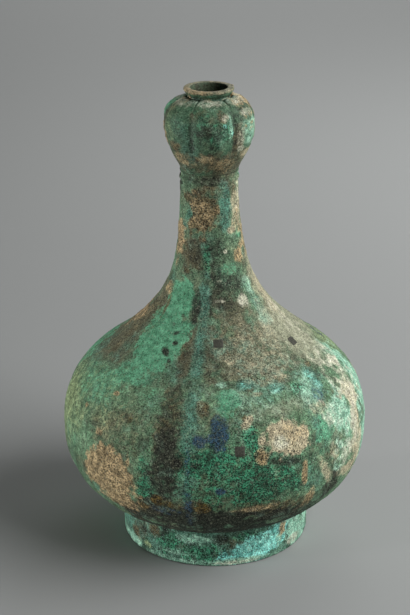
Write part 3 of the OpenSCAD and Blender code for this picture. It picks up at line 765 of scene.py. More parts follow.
def lobed_skin_tree(ray: float = 0.03) -> NodeTree:
    """Build the tree that draws a turned skin down onto a lobed casting and eases the grooves.

    Args:
        ray: How far the casting is looked for, in metres.

    Returns:
        The tree.
    """
    tree, node, given = new_tree("Lobed skin", Casting="Object", Reach="Float", Easing="Int")
    cast = node("GeometryNodeObjectInfo", {"Object": given["Casting"]}, transform_space="RELATIVE")
    normal, place = node("GeometryNodeInputNormal").outputs[0], node("GeometryNodeInputPosition")
    lift = node("ShaderNodeVectorMath", {0: normal, "Scale": given["Reach"]}, operation="SCALE")
    start = node("ShaderNodeVectorMath", {0: place, 1: lift}, operation="ADD")
    back = node("ShaderNodeVectorMath", {0: normal, "Scale": -1.0}, operation="SCALE")
    hit = node("GeometryNodeRaycast", {"Target Geometry": cast.outputs["Geometry"], "Source Position": start,
                                       "Ray Direction": back, "Ray Length": ray}).outputs
    mark = node("GeometryNodeInputNamedAttribute", {"Name": "skin"}, data_type="FLOAT")
    outside = node("FunctionNodeCompare", {0: mark, 1: 0.5}, data_type="FLOAT", operation="GREATER_THAN")
    both = node("FunctionNodeBooleanMath", {0: hit["Is Hit"], 1: outside}, operation="AND")
    drawn = node("GeometryNodeSetPosition", {
        "Geometry": given["Geometry"], "Selection": both, "Position": hit["Hit Position"]})
    eased = node("GeometryNodeBlurAttribute", {"Value": place, "Iterations": given["Easing"]}, data_type="FLOAT_VECTOR")
    settled = node("GeometryNodeSetPosition", {"Geometry": drawn, "Selection": outside, "Position": eased})
    return close_tree(tree, settled, given["Finish"])


def spacer_ring_tree(crease: float = 0.25) -> NodeTree:
    """Build the tree that sets a square spacer with eased corners on each point, turned to its facing.

    Args:
        crease: How sharp the spacer's edges stay.

    Returns:
        The tree.
    """
    tree, node, given = new_tree("Spacer ring", Side="Float", Thickness="Float")
    size = node("ShaderNodeCombineXYZ", {0: given["Side"], 1: given["Side"], 2: given["Thickness"]})
    block = node("GeometryNodeMeshCube", {"Size": size, "Vertices X": 4, "Vertices Y": 4, "Vertices Z": 2})
    eased = node("GeometryNodeSubdivisionSurface", {"Mesh": block, "Level": 1, "Edge Crease": crease})
    facing = node("GeometryNodeInputNamedAttribute", {"Name": "facing"}, data_type="FLOAT_VECTOR")
    stand = node("FunctionNodeAlignRotationToVector", {"Vector": facing}, axis="Z")
    upright = node("FunctionNodeAlignRotationToVector", {"Rotation": stand, "Vector": (0, 0, 1)},
                   axis="Y", pivot_axis="Z")
    ring = node("GeometryNodeInstanceOnPoints", {"Points": given["Geometry"], "Instance": eased, "Rotation": upright})
    return close_tree(tree, ring, given["Finish"])


def crust_grain_tree(smallest: float = 0.45, form: Place = (1.0, 0.85, 0.55)) -> NodeTree:
    """Build the tree that scatters flat grains where the crust is gritty.

    Args:
        smallest: Width of the smallest grain as a share of the largest.
        form: Half sizes of a grain as shares of its width.

    Returns:
        The tree.
    """
    tree, node, given = new_tree("Crust grains", Spacing="Float", Density="Float", Grain="Float", Seed="Int")
    grit = node("GeometryNodeInputNamedAttribute", {"Name": "grit"}, data_type="FLOAT")
    spread = node("GeometryNodeDistributePointsOnFaces", {
        "Mesh": given["Geometry"], "Distance Min": given["Spacing"], "Density Max": given["Density"],
        "Density Factor": grit, "Seed": given["Seed"]}, distribute_method="POISSON").outputs
    pebble = node("GeometryNodeMeshIcoSphere", {"Radius": 1.0, "Subdivisions": 1})
    width = node("FunctionNodeRandomValue", {2: smallest, 3: 1.0, "Seed": given["Seed"]}, data_type="FLOAT")
    scaled = node("ShaderNodeMath", {0: width, 1: given["Grain"]}, operation="MULTIPLY")
    flat = node("ShaderNodeVectorMath", {0: form, "Scale": scaled}, operation="SCALE")
    ring = node("GeometryNodeInstanceOnPoints", {
        "Points": spread["Points"], "Instance": pebble, "Rotation": spread["Rotation"], "Scale": flat})
    return close_tree(tree, ring, given["Finish"])


def new_material(name: str) -> tuple[Material, partial]:
    """Start a material without nodes.

    Args:
        name: Name of the material.

    Returns:
        The material, and add_node for its tree.
    """
    material = bpy.data.materials.new(name)
    material.use_nodes = True
    material.node_tree.nodes.clear()
    return material, partial(add_node, material.node_tree)


@dataclass(frozen=True)
class CrustFinish:
    """Leaded tin bronze under burial corrosion: dull mineral grains in many colours, no metal gloss.

    The eye sees a matte, gritty skin whose colour changes from one grain to the next, with dark pits between them.
    """

    name: str
    slot: str
    mid: str
    dark: str
    light: str
    fine_mm: float = 1.1
    middle_mm: float = 4.5
    broad_mm: float = 16.0
    depth_mm: float = 0.45
    roughness: float = 0.86
    contrast: float = 1.0
    blotch: float = 1.0
    speck: str = "#a8ad97"

    # Stretches of the noise in which each thing sets in, and how strong it gets
    MID_NOISE, LIGHT_NOISE, TONE_NOISE = (0.72, 1.0), (1.0, 1.3), (0.36, 0.64)
    GRAIN_GAIN, GRIT_GAIN, GRAIN_LEAST, GRAIN_MOST = 2.7, 6.5, 0.2, 1.45
    PIT_NOISE, PIT_LIGHT = (0.44, 0.32), 0.38
    SPECK_NOISE, SPECK_COVER = (0.58, 0.74), 0.42
    HEAP_NOISE, HEAP_GAIN = (0.3, 0.7), 0.3
    FRAY_GAIN, CLUMP_GAIN, NEAR_GAIN, MOST_COVER = 0.8, 2.4, 3.0, 0.96
    BUMP, SHEEN = 0.8, 0.25

    @cache
    def material(self) -> Material:
        """Build the material's nodes.

        Returns:
            The material, made once for each finish.
        """
        material, node = new_material(self.name)
        place = node("ShaderNodeTexCoord").outputs["Object"]
        noises = []
        for size, detail, rough in ((self.fine_mm, 1.0, 0.6), (self.middle_mm, 3.0, 0.65), (self.broad_mm, 4.0, 0.6)):
            noise = node("ShaderNodeTexNoise", {"Vector": place, "Scale": 1 / (size * MM), "Detail": detail,
                                                "Roughness": rough})
            noises.append(node("ShaderNodeSeparateColor", {0: noise.outputs["Color"]}).outputs)
        fine, middle, broad = noises
        mixed = node("ShaderNodeMath", {0: middle[0], 1: broad[0]}, operation="ADD")
        colour = linear(self.dark)
        for over, (low, high) in ((self.mid, self.MID_NOISE), (self.light, self.LIGHT_NOISE)):
            share = node("ShaderNodeMapRange", {0: mixed, 1: low, 2: high}, interpolation_type="SMOOTHSTEP")
            colour = node("ShaderNodeMix", {0: share, 6: colour, 7: linear(over)}, data_type="RGBA")
        for number, mineral in enumerate(Mineral):
            colour = self.layer(node, colour, mineral, fine[number % 3], middle[(number + 1) % 3])
        grit = node("ShaderNodeAttribute", attribute_name="grit").outputs["Fac"]
        harsh = node("ShaderNodeMath", {0: grit, 1: self.GRIT_GAIN * self.contrast, 2: self.GRAIN_GAIN * self.contrast},
                     operation="MULTIPLY_ADD")
        ripple = node("ShaderNodeMath", {0: fine[0], 1: -0.5}, operation="ADD")
        wave = node("ShaderNodeMath", {0: ripple, 1: harsh, 2: 1.0}, operation="MULTIPLY_ADD")
        value = node("ShaderNodeClamp", {0: wave, 1: self.GRAIN_LEAST, 2: self.GRAIN_MOST})
        pits = node("ShaderNodeMapRange", {0: fine[1], 1: self.PIT_NOISE[0], 2: self.PIT_NOISE[1], 3: 1.0,
                                           4: self.PIT_LIGHT}, interpolation_type="SMOOTHSTEP")
        specks = node("ShaderNodeMapRange", {0: fine[2], 1: self.SPECK_NOISE[0], 2: self.SPECK_NOISE[1],
                                             4: self.SPECK_COVER}, interpolation_type="SMOOTHSTEP")
        heap = self.HEAP_GAIN * self.blotch
        heaps = node("ShaderNodeMapRange", {0: middle[2], 1: self.HEAP_NOISE[0], 2: self.HEAP_NOISE[1], 3: 1.0 - heap,
                                            4: 1.0 + heap})
        for grains in (value, heaps, pits):
            colour = node("ShaderNodeMix", {0: 1.0, 6: colour, 7: grains}, data_type="RGBA", blend_type="MULTIPLY")
        colour = node("ShaderNodeMix", {0: specks, 6: colour, 7: linear(self.speck)}, data_type="RGBA")
        bumps = node("ShaderNodeMath", {0: fine[0], 1: middle[0]}, operation="ADD")
        bump = node("ShaderNodeBump", {"Height": bumps, "Distance": self.depth_mm * MM, "Strength": self.BUMP})
        shader = node("ShaderNodeBsdfPrincipled", {
            "Base Color": colour, "Roughness": self.roughness, "Metallic": 0.0, "Specular IOR Level": self.SHEEN,
            "Normal": bump})
        node("ShaderNodeOutputMaterial", {"Surface": shader})
        return material

    def layer(self, node: partial, under: Node, mineral: Mineral, fine: NodeSocket, middle: NodeSocket) -> Node:
        """Lay one mineral over the colour so far, with an edge broken into grains.

        Args:
            node: What adds a node to the material's tree.
            under: Colour so far.
            mineral: The mineral, with its tone.
            fine: Fine noise channel.
            middle: Coarser noise channel.

        Returns:
            The colour with the mineral on it.
        """
        tone = mineral.value
        cover = node("ShaderNodeAttribute", attribute_name=mineral.attribute).outputs["Fac"]
        frayed, clumped = (
            node("ShaderNodeMath", {0: noise, 1: gain * tone.ragged, 2: -0.5 * gain * tone.ragged},
                 operation="MULTIPLY_ADD")
            for noise, gain in ((fine, self.FRAY_GAIN), (middle, self.CLUMP_GAIN)))
        edge = node("ShaderNodeMath", {0: frayed, 1: clumped}, operation="ADD")
        near = node("ShaderNodeMath", {0: cover, 1: self.NEAR_GAIN}, operation="MULTIPLY", use_clamp=True)
        total = node("ShaderNodeMath", {0: edge, 1: near, 2: cover}, operation="MULTIPLY_ADD")
        share = node("ShaderNodeMapRange", {0: total, 1: 0.5 - tone.soft, 2: 0.5 + tone.soft, 4: self.MOST_COVER},
                     interpolation_type="SMOOTHSTEP")
        blend = node("ShaderNodeMapRange", {0: middle, 1: self.TONE_NOISE[0], 2: self.TONE_NOISE[1]},
                     interpolation_type="SMOOTHSTEP")
        grains = node("ShaderNodeMix", {0: blend, 6: linear(tone.other), 7: linear(tone.main)}, data_type="RGBA")
        return node("ShaderNodeMix", {0: share, 6: under, 7: grains}, data_type="RGBA")


@dataclass(frozen=True)
class SpacerFinish:
    """Cast bronze spacers of another alloy: dark brown, dense and slightly smoother than the crust around them."""

    name: str = "Brown cast bronze spacer"
    slot: str = "chaplet_bronze"
    main: str = "#4b4b40"
    other: str = "#32332a"
    grain_mm: float = 1.2
    depth_mm: float = 0.2
    roughness: float = 0.72

    TONE_NOISE = (0.4, 0.62)

    @cache
    def material(self) -> Material:
        """Build the material's nodes.

        Returns:
            The material, made once.
        """
        material, node = new_material(self.name)
        place = node("ShaderNodeTexCoord").outputs["Object"]
        noise = node("ShaderNodeTexNoise", {"Vector": place, "Scale": 1 / (self.grain_mm * MM), "Detail": 4.0})
        share = node("ShaderNodeMapRange", {0: noise, 1: self.TONE_NOISE[0], 2: self.TONE_NOISE[1]})
        colour = node("ShaderNodeMix", {0: share, 6: linear(self.other), 7: linear(self.main)}, data_type="RGBA")
        bump = node("ShaderNodeBump", {"Height": noise, "Distance": self.depth_mm * MM, "Strength": 0.7})
        shader = node("ShaderNodeBsdfPrincipled", {
            "Base Color": colour, "Roughness": self.roughness, "Metallic": 0.15, "Normal": bump})
        node("ShaderNodeOutputMaterial", {"Surface": shader})
        return material


@dataclass(frozen=True)
class BackdropFinish:
    """Matt grey backdrop paper: an even grey without gloss."""

    name: str = "Grey backdrop paper"
    colour: str = "#a1a3a2"
    roughness: float = 0.95

    def material(self) -> Material:
        """Build the material's nodes.

        Returns:
            The material.
        """
        material, node = new_material(self.name)
        shader = node("ShaderNodeBsdfPrincipled", {
            "Base Color": linear(self.colour), "Roughness": self.roughness, "Specular IOR Level": 0.1})
        node("ShaderNodeOutputMaterial", {"Surface": shader})
        return material


class Finish(Enum):
    """The castings' finishes, with the record's material slots."""

    FOOT = CrustFinish("Bronze with mint and dark green crust", "foot_bronze", "#4c7562", "#2d4d39", "#78aa93",
                       contrast=1.15, blotch=1.5, speck="#b4dccf")
    BELLY = CrustFinish("Bronze with mottled green crust", "belly_bronze", "#5f8263", "#48664b", "#7a9a78", blotch=1.4)
    NECK = CrustFinish("Bronze with green crust and earth", "neck_bronze", "#587459", "#3f5542", "#7d9374")
    HEAD = CrustFinish("Bronze with smooth dark green patina", "head_bronze", "#41624a", "#2c4935", "#59775c",
                       depth_mm=0.3, contrast=0.75, blotch=0.8, roughness=0.66, speck="#8fa68c")
    FLOOR = CrustFinish("Bronze with dull green and brown crust", "floor_bronze", "#4c5f49", "#3a4032", "#5f7a5c")


@dataclass(frozen=True)
class GrainScatter:
    """A scatter of grains: its seed, their least distance, largest half width and density."""

    seed: int
    spacing: float = 1.3
    grain: float = 0.5
    density: float = 4.0e5


class Shop:
    """What all sub-assemblies share: the skin, the field of crust and the node trees."""

    INSIDE_COVER = {M.OLIVE: 0.55, M.DARK: 0.45}
    SPACER_THICK = 2.6
    SPACER_PROUD = 0.28
    SPACER_SUNK = -0.5
    SEAM_REACH = 0.01

    def __init__(self, calm_spots: tuple[tuple[float, float], ...]) -> None:
        """Read the skin and build the trees.

        Args:
            calm_spots: Angle and height of the spacers that no crust covers.
        """
        self.skin = BottleSkin()
        self.field = CrustField(self.skin, FRONT_PATCHES + GROOVE_SHADE_AND_CROWN_PATCHES + back_patches(), calm_spots)
        self.wall_tree = turned_wall_tree()
        self.lobe_tree = lobed_skin_tree()
        self.spacer_tree = spacer_ring_tree()
        self.grain_tree = crust_grain_tree()

    def turned(self, node: str, finish: Finish, sections: list[tuple[np.ndarray, bool]], segments: int) -> Object:
        """Turn a closed outline into a wall.

        Args:
            node: CAD node that the wall stands for.
            finish: The wall's finish.
            sections: Rows of radius and height, once round the wall, with whether they are on the skin.
            segments: Number of segments around.

        Returns:
            The piece, with the skin's rows marked.
        """
        outline = np.vstack([rows for rows, _ in sections])
        marks = np.concatenate([np.full(len(np.atleast_2d(rows)), float(on_skin)) for rows, on_skin in sections])
        count = len(outline)
        points = np.column_stack([outline[:, 0], np.zeros(count), outline[:, 1]]) * MM
        piece = new_piece(node + "_crust", points, [(k, (k + 1) % count) for k in range(count)])
        self.write(piece.data, "skin", marks)
        grown(piece, self.wall_tree, {"Segments": segments, "Finish": finish.value.material()})
        self.face_outwards(piece.data)
        return piece

    def lined(self, node: str, finish: Finish, row: float, span: Place, segments: int) -> Object:
        """Turn a wall from a casting's outer line and its inner one.

        Args:
            node: CAD node that the wall stands for.
            finish: The wall's finish.
            row: Distance of the skin's rows.
            span: Lower and upper end of the inner line, and the distance of its rows.
            segments: Number of segments around.

        Returns:
            The piece, with the skin's rows marked.
        """
        low, high, step = span
        side = even_rows(self.skin.lines[node], row)
        inside = self.skin.probes[node].inner_line(low, high, self.skin.section_angle, step)
        return self.turned(node, finish, [(side, True), (inside, False)], segments)

    @staticmethod
    def face_outwards(mesh: Mesh) -> None:
        """Turn a closed mesh's faces outwards, by the sign of its volume.

        Args:
            mesh: The mesh.
        """
        mesh.calc_loop_triangles()
        points = Shop.points(mesh)
        corners = np.zeros(len(mesh.loop_triangles) * 3, np.int32)
        mesh.loop_triangles.foreach_get("vertices", corners)
        a, b, c = (points[corners[k::3]] for k in range(3))
        if np.einsum("ij,ij->i", a, np.cross(b, c)).sum() < 0:
            mesh.flip_normals()

    @staticmethod
    def points(mesh: Mesh) -> np.ndarray:
        """Read a mesh's vertices.

        Args:
            mesh: The mesh.

        Returns:
            The vertices, one row each.
        """
        flat = np.zeros(len(mesh.vertices) * 3, np.float32)
        mesh.vertices.foreach_get("co", flat)
        return flat.reshape(-1, 3).astype(float) / MM

    @staticmethod
    def write(mesh: Mesh, name: str, values: np.ndarray) -> None:
        """Write one number for each vertex as an attribute."""
        attribute = mesh.attributes.new(name, "FLOAT", "POINT")
        attribute.data.foreach_set("value", values.astype(np.float32))

    def complete(self, wall: Object, node: str, finish: Finish, seams: tuple[float, ...] = (),
                 scatter: GrainScatter | None = None, own_normals: bool = False) -> None:
        """Crust a wall, hand it over and scatter its grains.

        Args:
            wall: A wall whose skin's rows are marked.
            node: CAD node that it stands for.
            finish: The wall's finish.
            seams: Heights at which the skin runs on into the next piece.
            scatter: The wall's grains, or nothing.
            own_normals: Whether the crust rises along the mesh's own normals, as on the lobed head.
        """
        self.crusted(wall, seams, own_normals)
        self.hand_over(wall, finish.value.slot, node)
        if scatter:
            self.grains(wall, finish.value.slot, scatter)

    def crusted(self, piece: Object, seams: tuple[float, ...], own_normals: bool) -> None:
        """Raise the crust on a wall's outer skin, lay its minerals out, and let the neck lean.

        Args:
            piece: A wall whose skin's rows are marked.
            seams: Heights at which the skin runs on into the next piece.
            own_normals: Whether the crust rises along the mesh's own normals.
        """
        mesh = piece.data
        points = self.points(mesh)
        marks = np.zeros(len(points), np.float32)
        mesh.attributes["skin"].data.foreach_get("value", marks)
        outside = marks > 0.5
        base = points[outside]
        if own_normals:
            flat = np.zeros(len(points) * 3, np.float32)
            mesh.vertex_normals.foreach_get("vector", flat)
            normals = flat.reshape(-1, 3)[outside].astype(float)
        else:
            normals = self.skin_normals(base)
        moved = points.copy()
        moved[outside] = base + normals * self.field.relief(base)[:, None]
        moved[:, 0] += self.skin.shift(points[:, 2])
        mesh.vertices.foreach_set("co", (moved * MM).astype(np.float32).ravel())
        covers = self.field.masks(base)
        for mineral, cover in covers.items():
            values = np.full(len(points), self.INSIDE_COVER.get(mineral, 0.0))
            values[outside] = cover
            self.write(mesh, mineral.attribute, values)
        grits = np.array([mineral.value.grit * np.clip(cover, 0.0, 1.0) for mineral, cover in covers.items()])
        grit = np.zeros(len(points))
        grit[outside] = grits.max(axis=0) + grits.min(axis=0)
        self.write(mesh, "grit", grit)
        mesh.update()
        if seams:
            custom = np.zeros_like(points)
            for seam in seams:
                rim = outside & (np.abs(points[:, 2] - seam) < self.SEAM_REACH)
                custom[rim] = self.crust_normals(points[rim])
            mesh.normals_split_custom_set_from_vertices(custom.astype(np.float32))

    def skin_normals(self, points: np.ndarray) -> np.ndarray:
        """Outward directions of the turned outline.

        Args:
            points: Places on it.

        Returns:
            One unit direction for each place.
        """
        slope = self.skin.slope(points[:, 2])
        radius = np.hypot(points[:, 0], points[:, 1])
        out = points[:, :2] / radius[:, None]
        return np.column_stack([out, -slope]) / np.hypot(1.0, slope)[:, None]

    def crust_normals(self, points: np.ndarray, step: float = 1.2) -> np.ndarray:
        """Directions of the crusted skin, from the slope of the field, for the rows that two pieces share.

        Args:
            points: Places on the turned outline.
            step: Distance over which the slope is read.

        Returns:
            One unit direction for each place.
        """
        normals = self.skin_normals(points)
        around = np.cross([0.0, 0.0, 1.0], normals)
        around /= np.linalg.norm(around, axis=1, keepdims=True)
        tilted = normals.copy()
        for way in (around, np.cross(normals, around)):
            rise = (self.field.relief(points + way * step) - self.field.relief(points - way * step)) / (2 * step)
            tilted -= way * rise[:, None]
        return tilted / np.linalg.norm(tilted, axis=1, keepdims=True)

    def grains(self, wall: Object, slot: str, scatter: GrainScatter) -> None:
        """Scatter grains of crust over a crusted wall, in the colours of the minerals under them.

        Args:
            wall: A crusted wall.
            slot: The record's material slot.
            scatter: How the grains lie.
        """
        piece = placed(wall.name + "_grains", wall.data.copy())
        grown(piece, self.grain_tree, {
            "Spacing": scatter.spacing * MM, "Density": scatter.density, "Grain": scatter.grain * MM,
            "Seed": scatter.seed, "Finish": wall.data.materials[0]})
        self.hand_over(piece, slot)

    def spacers(self, name: str, node: str, side: float) -> None:
        """Set a ring of core spacers into the wall, a little proud of the skin where no crust covers them.

        Args:
            name: Name of the piece.
            node: CAD node that they stand for.
            side: Side of a spacer.
        """
        finish = SpacerFinish()
        places = np.array(spacer_places(node))
        turn, heights = np.radians(places[:, 0]), places[:, 1]
        radius = self.skin.radius(heights)
        points = np.column_stack([radius * np.sin(turn), -radius * np.cos(turn), heights])
        facing = self.skin_normals(points)
        proud = np.where([is_covered(angle) for angle in places[:, 0]], self.SPACER_SUNK, self.SPACER_PROUD)
        centres = points - facing * (self.SPACER_THICK / 2 - proud)[:, None]
        centres[:, 0] += self.skin.shift(points[:, 2])
        piece = new_piece(name, centres * MM, [])
        marks = piece.data.attributes.new("facing", "FLOAT_VECTOR", "POINT")
        marks.data.foreach_set("vector", facing.astype(np.float32).ravel())
        grown(piece, self.spacer_tree, {
            "Side": side * MM, "Thickness": self.SPACER_THICK * MM, "Finish": finish.material()})
        self.hand_over(piece, finish.slot, node)

    @staticmethod
    def hand_over(piece: Object, slot: str, *nodes: str) -> None:
        """Let a finished piece ride on the body and hide the nodes that it stands for.

        Args:
            piece: The piece.
            slot: The record's material slot; not used.
            *nodes: CAD nodes that it stands for.
        """
        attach(piece, BODY)
        if nodes:
            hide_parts(*nodes)
        LOG.info("%s: %d faces", piece.name, len(piece.data.polygons))


@dataclass
class Assembly:
    """What every sub-assembly has: the shop, and the segments around its walls."""

    shop: Shop
    segments: int = 600


@dataclass
class FootAssembly(Assembly):
    """The ring foot, with the floor plate and its spacers inside."""

    row: float = 1.2
    inner_row: float = 5.0
    inner_drop: float = 3.0
    bevel: float = 1.2
    bevel_ease: float = 0.35
    scatter: GrainScatter = GrainScatter(11)

    def build(self) -> None:
        """Make the ring's wall, and dress the floor plate and its spacers."""
        shop = self.shop
        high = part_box("foot_ring")[1]
        outer, top, ease = high.x / MM, high.z / MM, self.bevel_ease * self.bevel
        inner = shop.skin.probes["foot_ring"].radius(top / 2, shop.skin.section_angle, inner=True)
        ground = np.array([[inner + self.bevel, 0.0], [outer - self.bevel, 0.0], [outer - ease, ease]])
        side = even_rows(np.array([[outer, self.bevel], [outer, top]]), self.row)
        back = even_rows(np.array([[inner, top - self.inner_drop], [inner, self.bevel]]), self.inner_row)
        wall = shop.turned("foot_ring", Finish.FOOT, [
            (ground, False), (side, True), (np.array([inner, top]), False), (back, False)], self.segments)
        shop.complete(wall, "foot_ring", Finish.FOOT, scatter=self.scatter)
        for node, finish in (("floor_plate", Finish.FLOOR.value), ("floor_chaplets", SpacerFinish())):
            mesh = frame["nodes"][node].data
            mesh.materials.clear()
            mesh.materials.append(finish.material())


@dataclass
class BellyAssembly(Assembly):
    """The belly's two castings and their ring of spacers."""

    row: float = 1.15
    under_row: float = 0.8
    inner_row: float = 3.0
    inset: float = 0.1
    ledge: float = 2.0
    lap: float = 2.0
    spacer_side: float = 8.0
    lower_scatter: GrainScatter = GrainScatter(12)
    upper_scatter: GrainScatter = GrainScatter(13)

    def build(self) -> None:
        """Make the lower belly, the shoulder, their grains and their spacers."""
        shop, skin = self.shop, self.shop.skin
        probe = skin.probes["lower_belly"]
        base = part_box("lower_belly")[0].z / MM + self.inset
        under = probe.outer_line(base, skin.foot_top - self.ledge, skin.section_angle, self.under_row)
        side = even_rows(skin.lines["lower_belly"], self.row)
        back = probe.inner_line(base, skin.belly_top, skin.section_angle, self.inner_row)
        wall = shop.turned("lower_belly", Finish.BELLY, [
            (under, False), (np.array([under[-1, 0], skin.foot_top]), False), (side, True), (back, False)],
            self.segments)
        shop.complete(wall, "lower_belly", Finish.BELLY, (skin.belly_top,), self.lower_scatter)
        span = (skin.belly_top, skin.shoulder_top - self.lap, self.inner_row)
        wall = shop.lined("shoulder", Finish.BELLY, self.row, span, self.segments)
        shop.complete(wall, "shoulder", Finish.BELLY, (skin.belly_top, skin.shoulder_top), self.upper_scatter)
        shop.spacers("belly_spacers", "belly_chaplets", self.spacer_side)


@dataclass
class NeckAssembly(Assembly):
    """The flared neck with its ring of spacers, and the band under the head."""

    row: float = 1.2
    inner_row: float = 8.0
    band_row: float = 0.5
    band_inner_row: float = 4.0
    lap: float = 2.0
    spacer_side: float = 8.0
    scatter: GrainScatter = GrainScatter(14)

    def build(self) -> None:
        """Make the neck with its grains, the band and the spacers."""
        shop, skin = self.shop, self.shop.skin
        span = (skin.shoulder_top - self.lap, skin.neck_top, self.inner_row)
        wall = shop.lined("neck", Finish.NECK, self.row, span, self.segments)
        shop.complete(wall, "neck", Finish.NECK, (skin.shoulder_top,), self.scatter)
        span = (skin.neck_top, skin.band_top, self.band_inner_row)
        band = shop.lined("neck_band", Finish.NECK, self.band_row, span, self.segments // 2)
        shop.complete(band, "neck_band", Finish.NECK)
        shop.spacers("neck_spacers", "neck_chaplets", self.spacer_side)


@dataclass
class HeadAssembly(Assembly):
    """The lobed head and the mouth's rim."""

    row: float = 0.75
    inner_row: float = 4.0
    crest_angle: float = 6.0
    crown_from: float = 343.0
    crown_rays: int = 60
    crown_start: float = 0.4
    collar_at: float = 352.0
    collar_gap: float = 0.2
    collar_drop: float = 3.0
    reach: float = 8.0
    easing: int = 5
    scatter: GrainScatter = GrainScatter(15, 1.2, 0.36)
    rim_seat: float = 6.0
    rim_probe: float = 0.2
    rim_row: float = 0.5
    lip_row: float = 0.8
    lip_round: float = 0.8
    lip_ease: float = 0.3
    bore_row: float = 1.5
    spigot_wall: float = 1.0

    def build(self) -> None:
        """Make the head, its grains and the rim."""
        self.shop.complete(self.head(), "garlic_head", Finish.HEAD, scatter=self.scatter, own_normals=True)
        self.shop.complete(self.rim(), "mouth_rim", Finish.HEAD)

    def head(self) -> Object:
        """Turn the crest's outline and draw it down onto the cloves.

        Returns:
            The lobed wall.
        """
        shop, skin, probe = self.shop, self.shop.skin, self.shop.skin.probes["garlic_head"]
        rise = probe.outer_line(skin.band_top, self.crown_from, self.crest_angle)
        collar = skin.probes["mouth_rim"].radius(self.collar_at, self.crest_angle) + self.collar_gap
        turn = math.radians(self.crest_angle)
        crown = []
        for radius in np.linspace(rise[-1, 0] - self.crown_start, collar, self.crown_rays):
            hit = probe.ray((radius * math.sin(turn), -radius * math.cos(turn), probe.FAR), (0, 0, -1))
            if hit is not None:
                crown.append((radius, hit.z))
        side = even_rows(np.vstack([rise, np.array(crown)]), self.row)
        back = probe.inner_line(skin.band_top, self.crown_from, self.crest_angle, self.inner_row)
        head = shop.turned("garlic_head", Finish.HEAD, [
            (side[:1], False), (side[1:], True), (np.array([collar, side[-1, 1] - self.collar_drop]), False),
            (back, False)], self.segments)
        return grown(head, shop.lobe_tree, {
            "Casting": frame["nodes"]["garlic_head"], "Reach": self.reach * MM, "Easing": self.easing,
            "Finish": Finish.HEAD.value.material()})

    def rim(self) -> Object:
        """Turn the collar and the lip around the bore.

        Returns:
            The rim's wall.
        """
        skin = self.shop.skin
        base, top = (corner.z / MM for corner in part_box("mouth_rim"))
        bore = next(m["dims"]["r_mm"] for m in frame["record"]["mounts"] if m["name"] == "mouth_bore")
        full, ease = self.lip_round, self.lip_ease * self.lip_round
        line = skin.probes["mouth_rim"].outer_line(
            skin.head_top - self.rim_seat, top - full, skin.section_angle, self.rim_probe)
        side = even_rows(line, self.rim_row)
        lip = side[-1, 0]
        over = np.array([[lip - ease, top - ease], [lip - full, top]])
        flat = even_rows(np.array([[lip - full, top], [bore + full, top]]), self.lip_row)[1:]
        mouth = np.array([[bore + ease, top - ease], [bore, top - full]])
        wall = even_rows(np.array([[bore, top - full], [bore, base]]), self.bore_row)[1:]
        foot = np.array([side[0, 0] - self.spigot_wall, base])
        return self.shop.turned("mouth_rim", Finish.HEAD, [
            (side, True), (over, True), (flat, True), (mouth, False), (wall, False), (foot, False)],
            self.segments // 2)


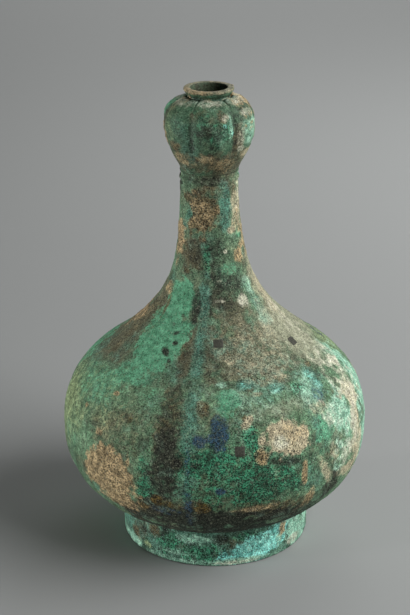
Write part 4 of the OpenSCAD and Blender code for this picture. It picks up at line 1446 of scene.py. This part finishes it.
@dataclass
class Studio:
    """Backdrop, lamps and the camera at the photograph's angle, with lengths in metres."""

    camera_back: float = 1.134
    camera_up: float = 0.639
    pitch: float = 21.77
    yaw: float = 0.36
    roll: float = -0.4
    focal_px: float = 1582.0
    sensor_mm: float = 36.0
    floor_reach: float = 6.0
    air: str = "#f2f2f4"
    air_light: float = 0.04

    def build(self) -> None:
        """Lay the backdrop, hang the lamps and set the camera up."""
        self.backdrop()
        self.lamp("Key", (1.66, -0.58, 1.28), (0.0, 0.0, 0.12), size=1.9, power=62.5)
        self.lamp("Fill card", (-4.0, -0.93, 0.22), (0.0, 0.0, 0.17), size=0.4, power=1.38, spread=17.0)
        self.lamp("Far backdrop lamp", (0.2, 2.9, 1.6), (0.1, 2.9, 0.0), size=2.0, power=24.0)
        self.lamp("Near backdrop lamp", (0.45, 1.0, 0.9), (0.45, 1.0, 0.0), size=0.8, power=4.2)
        world = bpy.data.worlds.new("Studio air")
        world.use_nodes = True
        glow = world.node_tree.nodes["Background"].inputs
        glow["Color"].default_value, glow["Strength"].default_value = linear(self.air), self.air_light
        scene = bpy.context.scene
        scene.world = world
        scene.view_settings.view_transform = "Standard"
        self.camera()

    def backdrop(self) -> None:
        """Lay the paper flat on the ground, far past the camera's view."""
        mesh = bpy.data.meshes.new("backdrop")
        half = self.floor_reach
        mesh.from_pydata([(-half, -half, 0), (half, -half, 0), (half, half, 0), (-half, half, 0)], [], [(0, 1, 2, 3)])
        mesh.materials.append(BackdropFinish().material())
        paper = placed("backdrop", mesh)

    @staticmethod
    def lamp(name: str, place: Place, aim: Place, size: float, power: float, spread: float = 180.0) -> None:
        """Hang a square soft lamp.

        Args:
            name: The lamp's name.
            place: Its place.
            aim: The point that it faces.
            size: Its side.
            power: Its power in watts.
            spread: Its beam's full angle.
        """
        light = bpy.data.lights.new(name, "AREA")
        light.size = size
        light.energy = power
        light.spread = math.radians(spread)
        lamp = placed(name, light)
        lamp.location = place
        lamp.rotation_euler = (Vector(aim) - Vector(place)).to_track_quat("-Z", "Y").to_euler()

    def camera(self) -> None:
        """Set the camera at the photograph's place and angle."""
        data = bpy.data.cameras.new("Photo camera")
        data.sensor_fit = "VERTICAL"
        data.sensor_height = self.sensor_mm
        data.lens = self.focal_px * self.sensor_mm / PHOTO_HEIGHT_PX
        camera = placed("Photo camera", data)
        camera.matrix_world = (Matrix.Translation((0.0, -self.camera_back, self.camera_up))
                               @ Matrix.Rotation(math.radians(self.yaw), 4, "Z")
                               @ Matrix.Rotation(math.radians(90.0 - self.pitch), 4, "X")
                               @ Matrix.Rotation(math.radians(self.roll), 4, "Z"))
        bpy.context.scene.camera = camera


def main() -> None:
    """Build the sub-assemblies from the foot up, then the studio."""
    logging.basicConfig(level=logging.INFO, format="%(name)s %(message)s")
    places = spacer_places("belly_chaplets") + spacer_places("neck_chaplets")
    shop = Shop(tuple(place for place in places if not is_covered(place[0])))
    for part in (FootAssembly(shop), BellyAssembly(shop), NeckAssembly(shop), HeadAssembly(shop)):
        part.build()
        LOG.info("%s built", type(part).__name__)
    Studio().build()
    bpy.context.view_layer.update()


if __name__ == "__main__":
    main()
